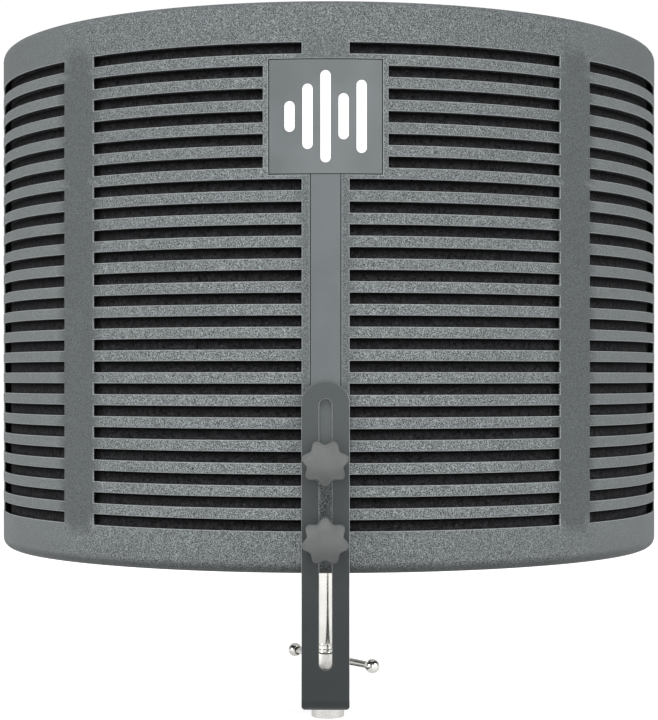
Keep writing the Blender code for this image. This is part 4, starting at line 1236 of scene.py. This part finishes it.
# How bright the white surroundings look to diffuse and to mirror-like reflections, compared to the camera.
AMBIENT = 0.45
FLOOR_DIFFUSE = 0.42
FLOOR_MIRRORED = 0.62
WORLD_MIRRORED = 0.15
FLOOR_GLOW = 0.66


def ray_share(nt, diffuse, mirrored):
    """1 for what the camera sees directly, and these shares for the two kinds of reflection."""
    path = node(nt, "ShaderNodeLightPath")
    share = maths(nt, "MULTIPLY", path.outputs["Is Diffuse Ray"], diffuse)
    share = maths(nt, "ADD", share, maths(nt, "MULTIPLY", path.outputs["Is Glossy Ray"], mirrored))
    return maths(nt, "ADD", share, path.outputs["Is Camera Ray"], clamp=True)


def mix_shaders(nt, share, first, second, output):
    mix = node(nt, "ShaderNodeMixShader")
    for i, source in enumerate((share, first.outputs[0], second.outputs[0])):
        feed(mix, i, source)
    feed(nt.nodes[output], "Surface", mix.outputs[0])


def make_stage():
    """White surroundings, a pale floor and four soft lights."""
    world = bpy.data.worlds.new("studio")
    bpy.context.scene.world = world
    world.use_nodes = True
    nt = world.node_tree
    seen = nt.nodes["Background"]
    seen.inputs["Color"].default_value = (1, 1, 1, 1)
    seen.inputs["Strength"].default_value = 1.02
    fill = node(nt, "ShaderNodeBackground", in_Color=(0.97, 0.99, 1.0, 1), in_Strength=AMBIENT)
    mix_shaders(nt, ray_share(nt, 0.0, WORLD_MIRRORED), fill, seen, "World Output")
    bm = bmesh.new()
    bmesh.ops.create_grid(bm, x_segments=2, y_segments=2, size=6)
    floor = new_object("floor", mesh_of("floor", bm))
    floor.location.z = -0.05 * MM
    m, nt, b = make_material("pale_floor", (0.85, 0.85, 0.85), 0.9)
    b.inputs["Emission Color"].default_value = (1, 1, 1, 1)
    b.inputs["Emission Strength"].default_value = FLOOR_GLOW
    dim = node(nt, "ShaderNodeBsdfDiffuse", in_Color=(0.30, 0.30, 0.30, 1))
    mix_shaders(nt, ray_share(nt, FLOOR_DIFFUSE, FLOOR_MIRRORED), dim, b, "Material Output")
    floor.data.materials.append(m)
    area_light("key", (-0.2, -1.5, 1.9), (0, -0.1, 0.25), 1.1, 32)
    area_light("front", (0.25, -2.2, 0.3), (0, -0.1, 0.2), 0.9, 8)
    area_light("left", (-1.5, -0.9, 0.5), (0, 0, 0.22), 0.5, 14, 1.4)
    area_light("right", (1.5, -0.9, 0.5), (0, 0, 0.22), 0.5, 14, 1.4)


CAMERA_LENS = 96.4
CAMERA_SHIFT = 0.0228
CAMERA_REACH = 1.002
CAMERA_HEIGHT = 0.1977
CAMERA_YAW = math.radians(0.51)


def make_camera():
    data = bpy.data.cameras.new("camera")
    cam = new_object("camera", data)
    data.sensor_width = 36
    data.lens = CAMERA_LENS
    data.shift_y = CAMERA_SHIFT
    data.clip_start = 0.01
    data.clip_end = 50
    reach = CAMERA_REACH + R_OUT
    cam.location = (reach * math.sin(CAMERA_YAW), ARC_Y - reach * math.cos(CAMERA_YAW), CAMERA_HEIGHT)
    cam.rotation_euler = (math.pi / 2, 0, CAMERA_YAW)
    bpy.context.scene.camera = cam


bpy.context.scene.view_settings.view_transform = "Standard"
make_camera()
make_stage()
make_shell()
make_frame()
make_screws()
slab("rear_felt", "rear_absorber", REAR_FELT, seed=3)
slab("front_felt", "front_absorber", FRONT_FELT, seed=5, bulge=FRONT_BULGE, look="felt_front")
plate("badge_face", "badge_plate")
plate("inlay_face", "inlay_strip", look="inlay_abs", facets=8)
make_emblem()
make_bracket()
make_knob("upper", 270)
make_knob("lower", 90)
make_socket()
for washer in ("swivel_washer", "clamp_washer", "knob_washer_upper", "knob_washer_lower"):
    make_washer(washer)
make_stud("upper")
make_stud("lower")
make_post()
make_t_bar()
for name, obj in frame["nodes"].items():
    obj.data.materials.clear()
    obj.data.materials.append(MATS[SLOT_OF[name]])
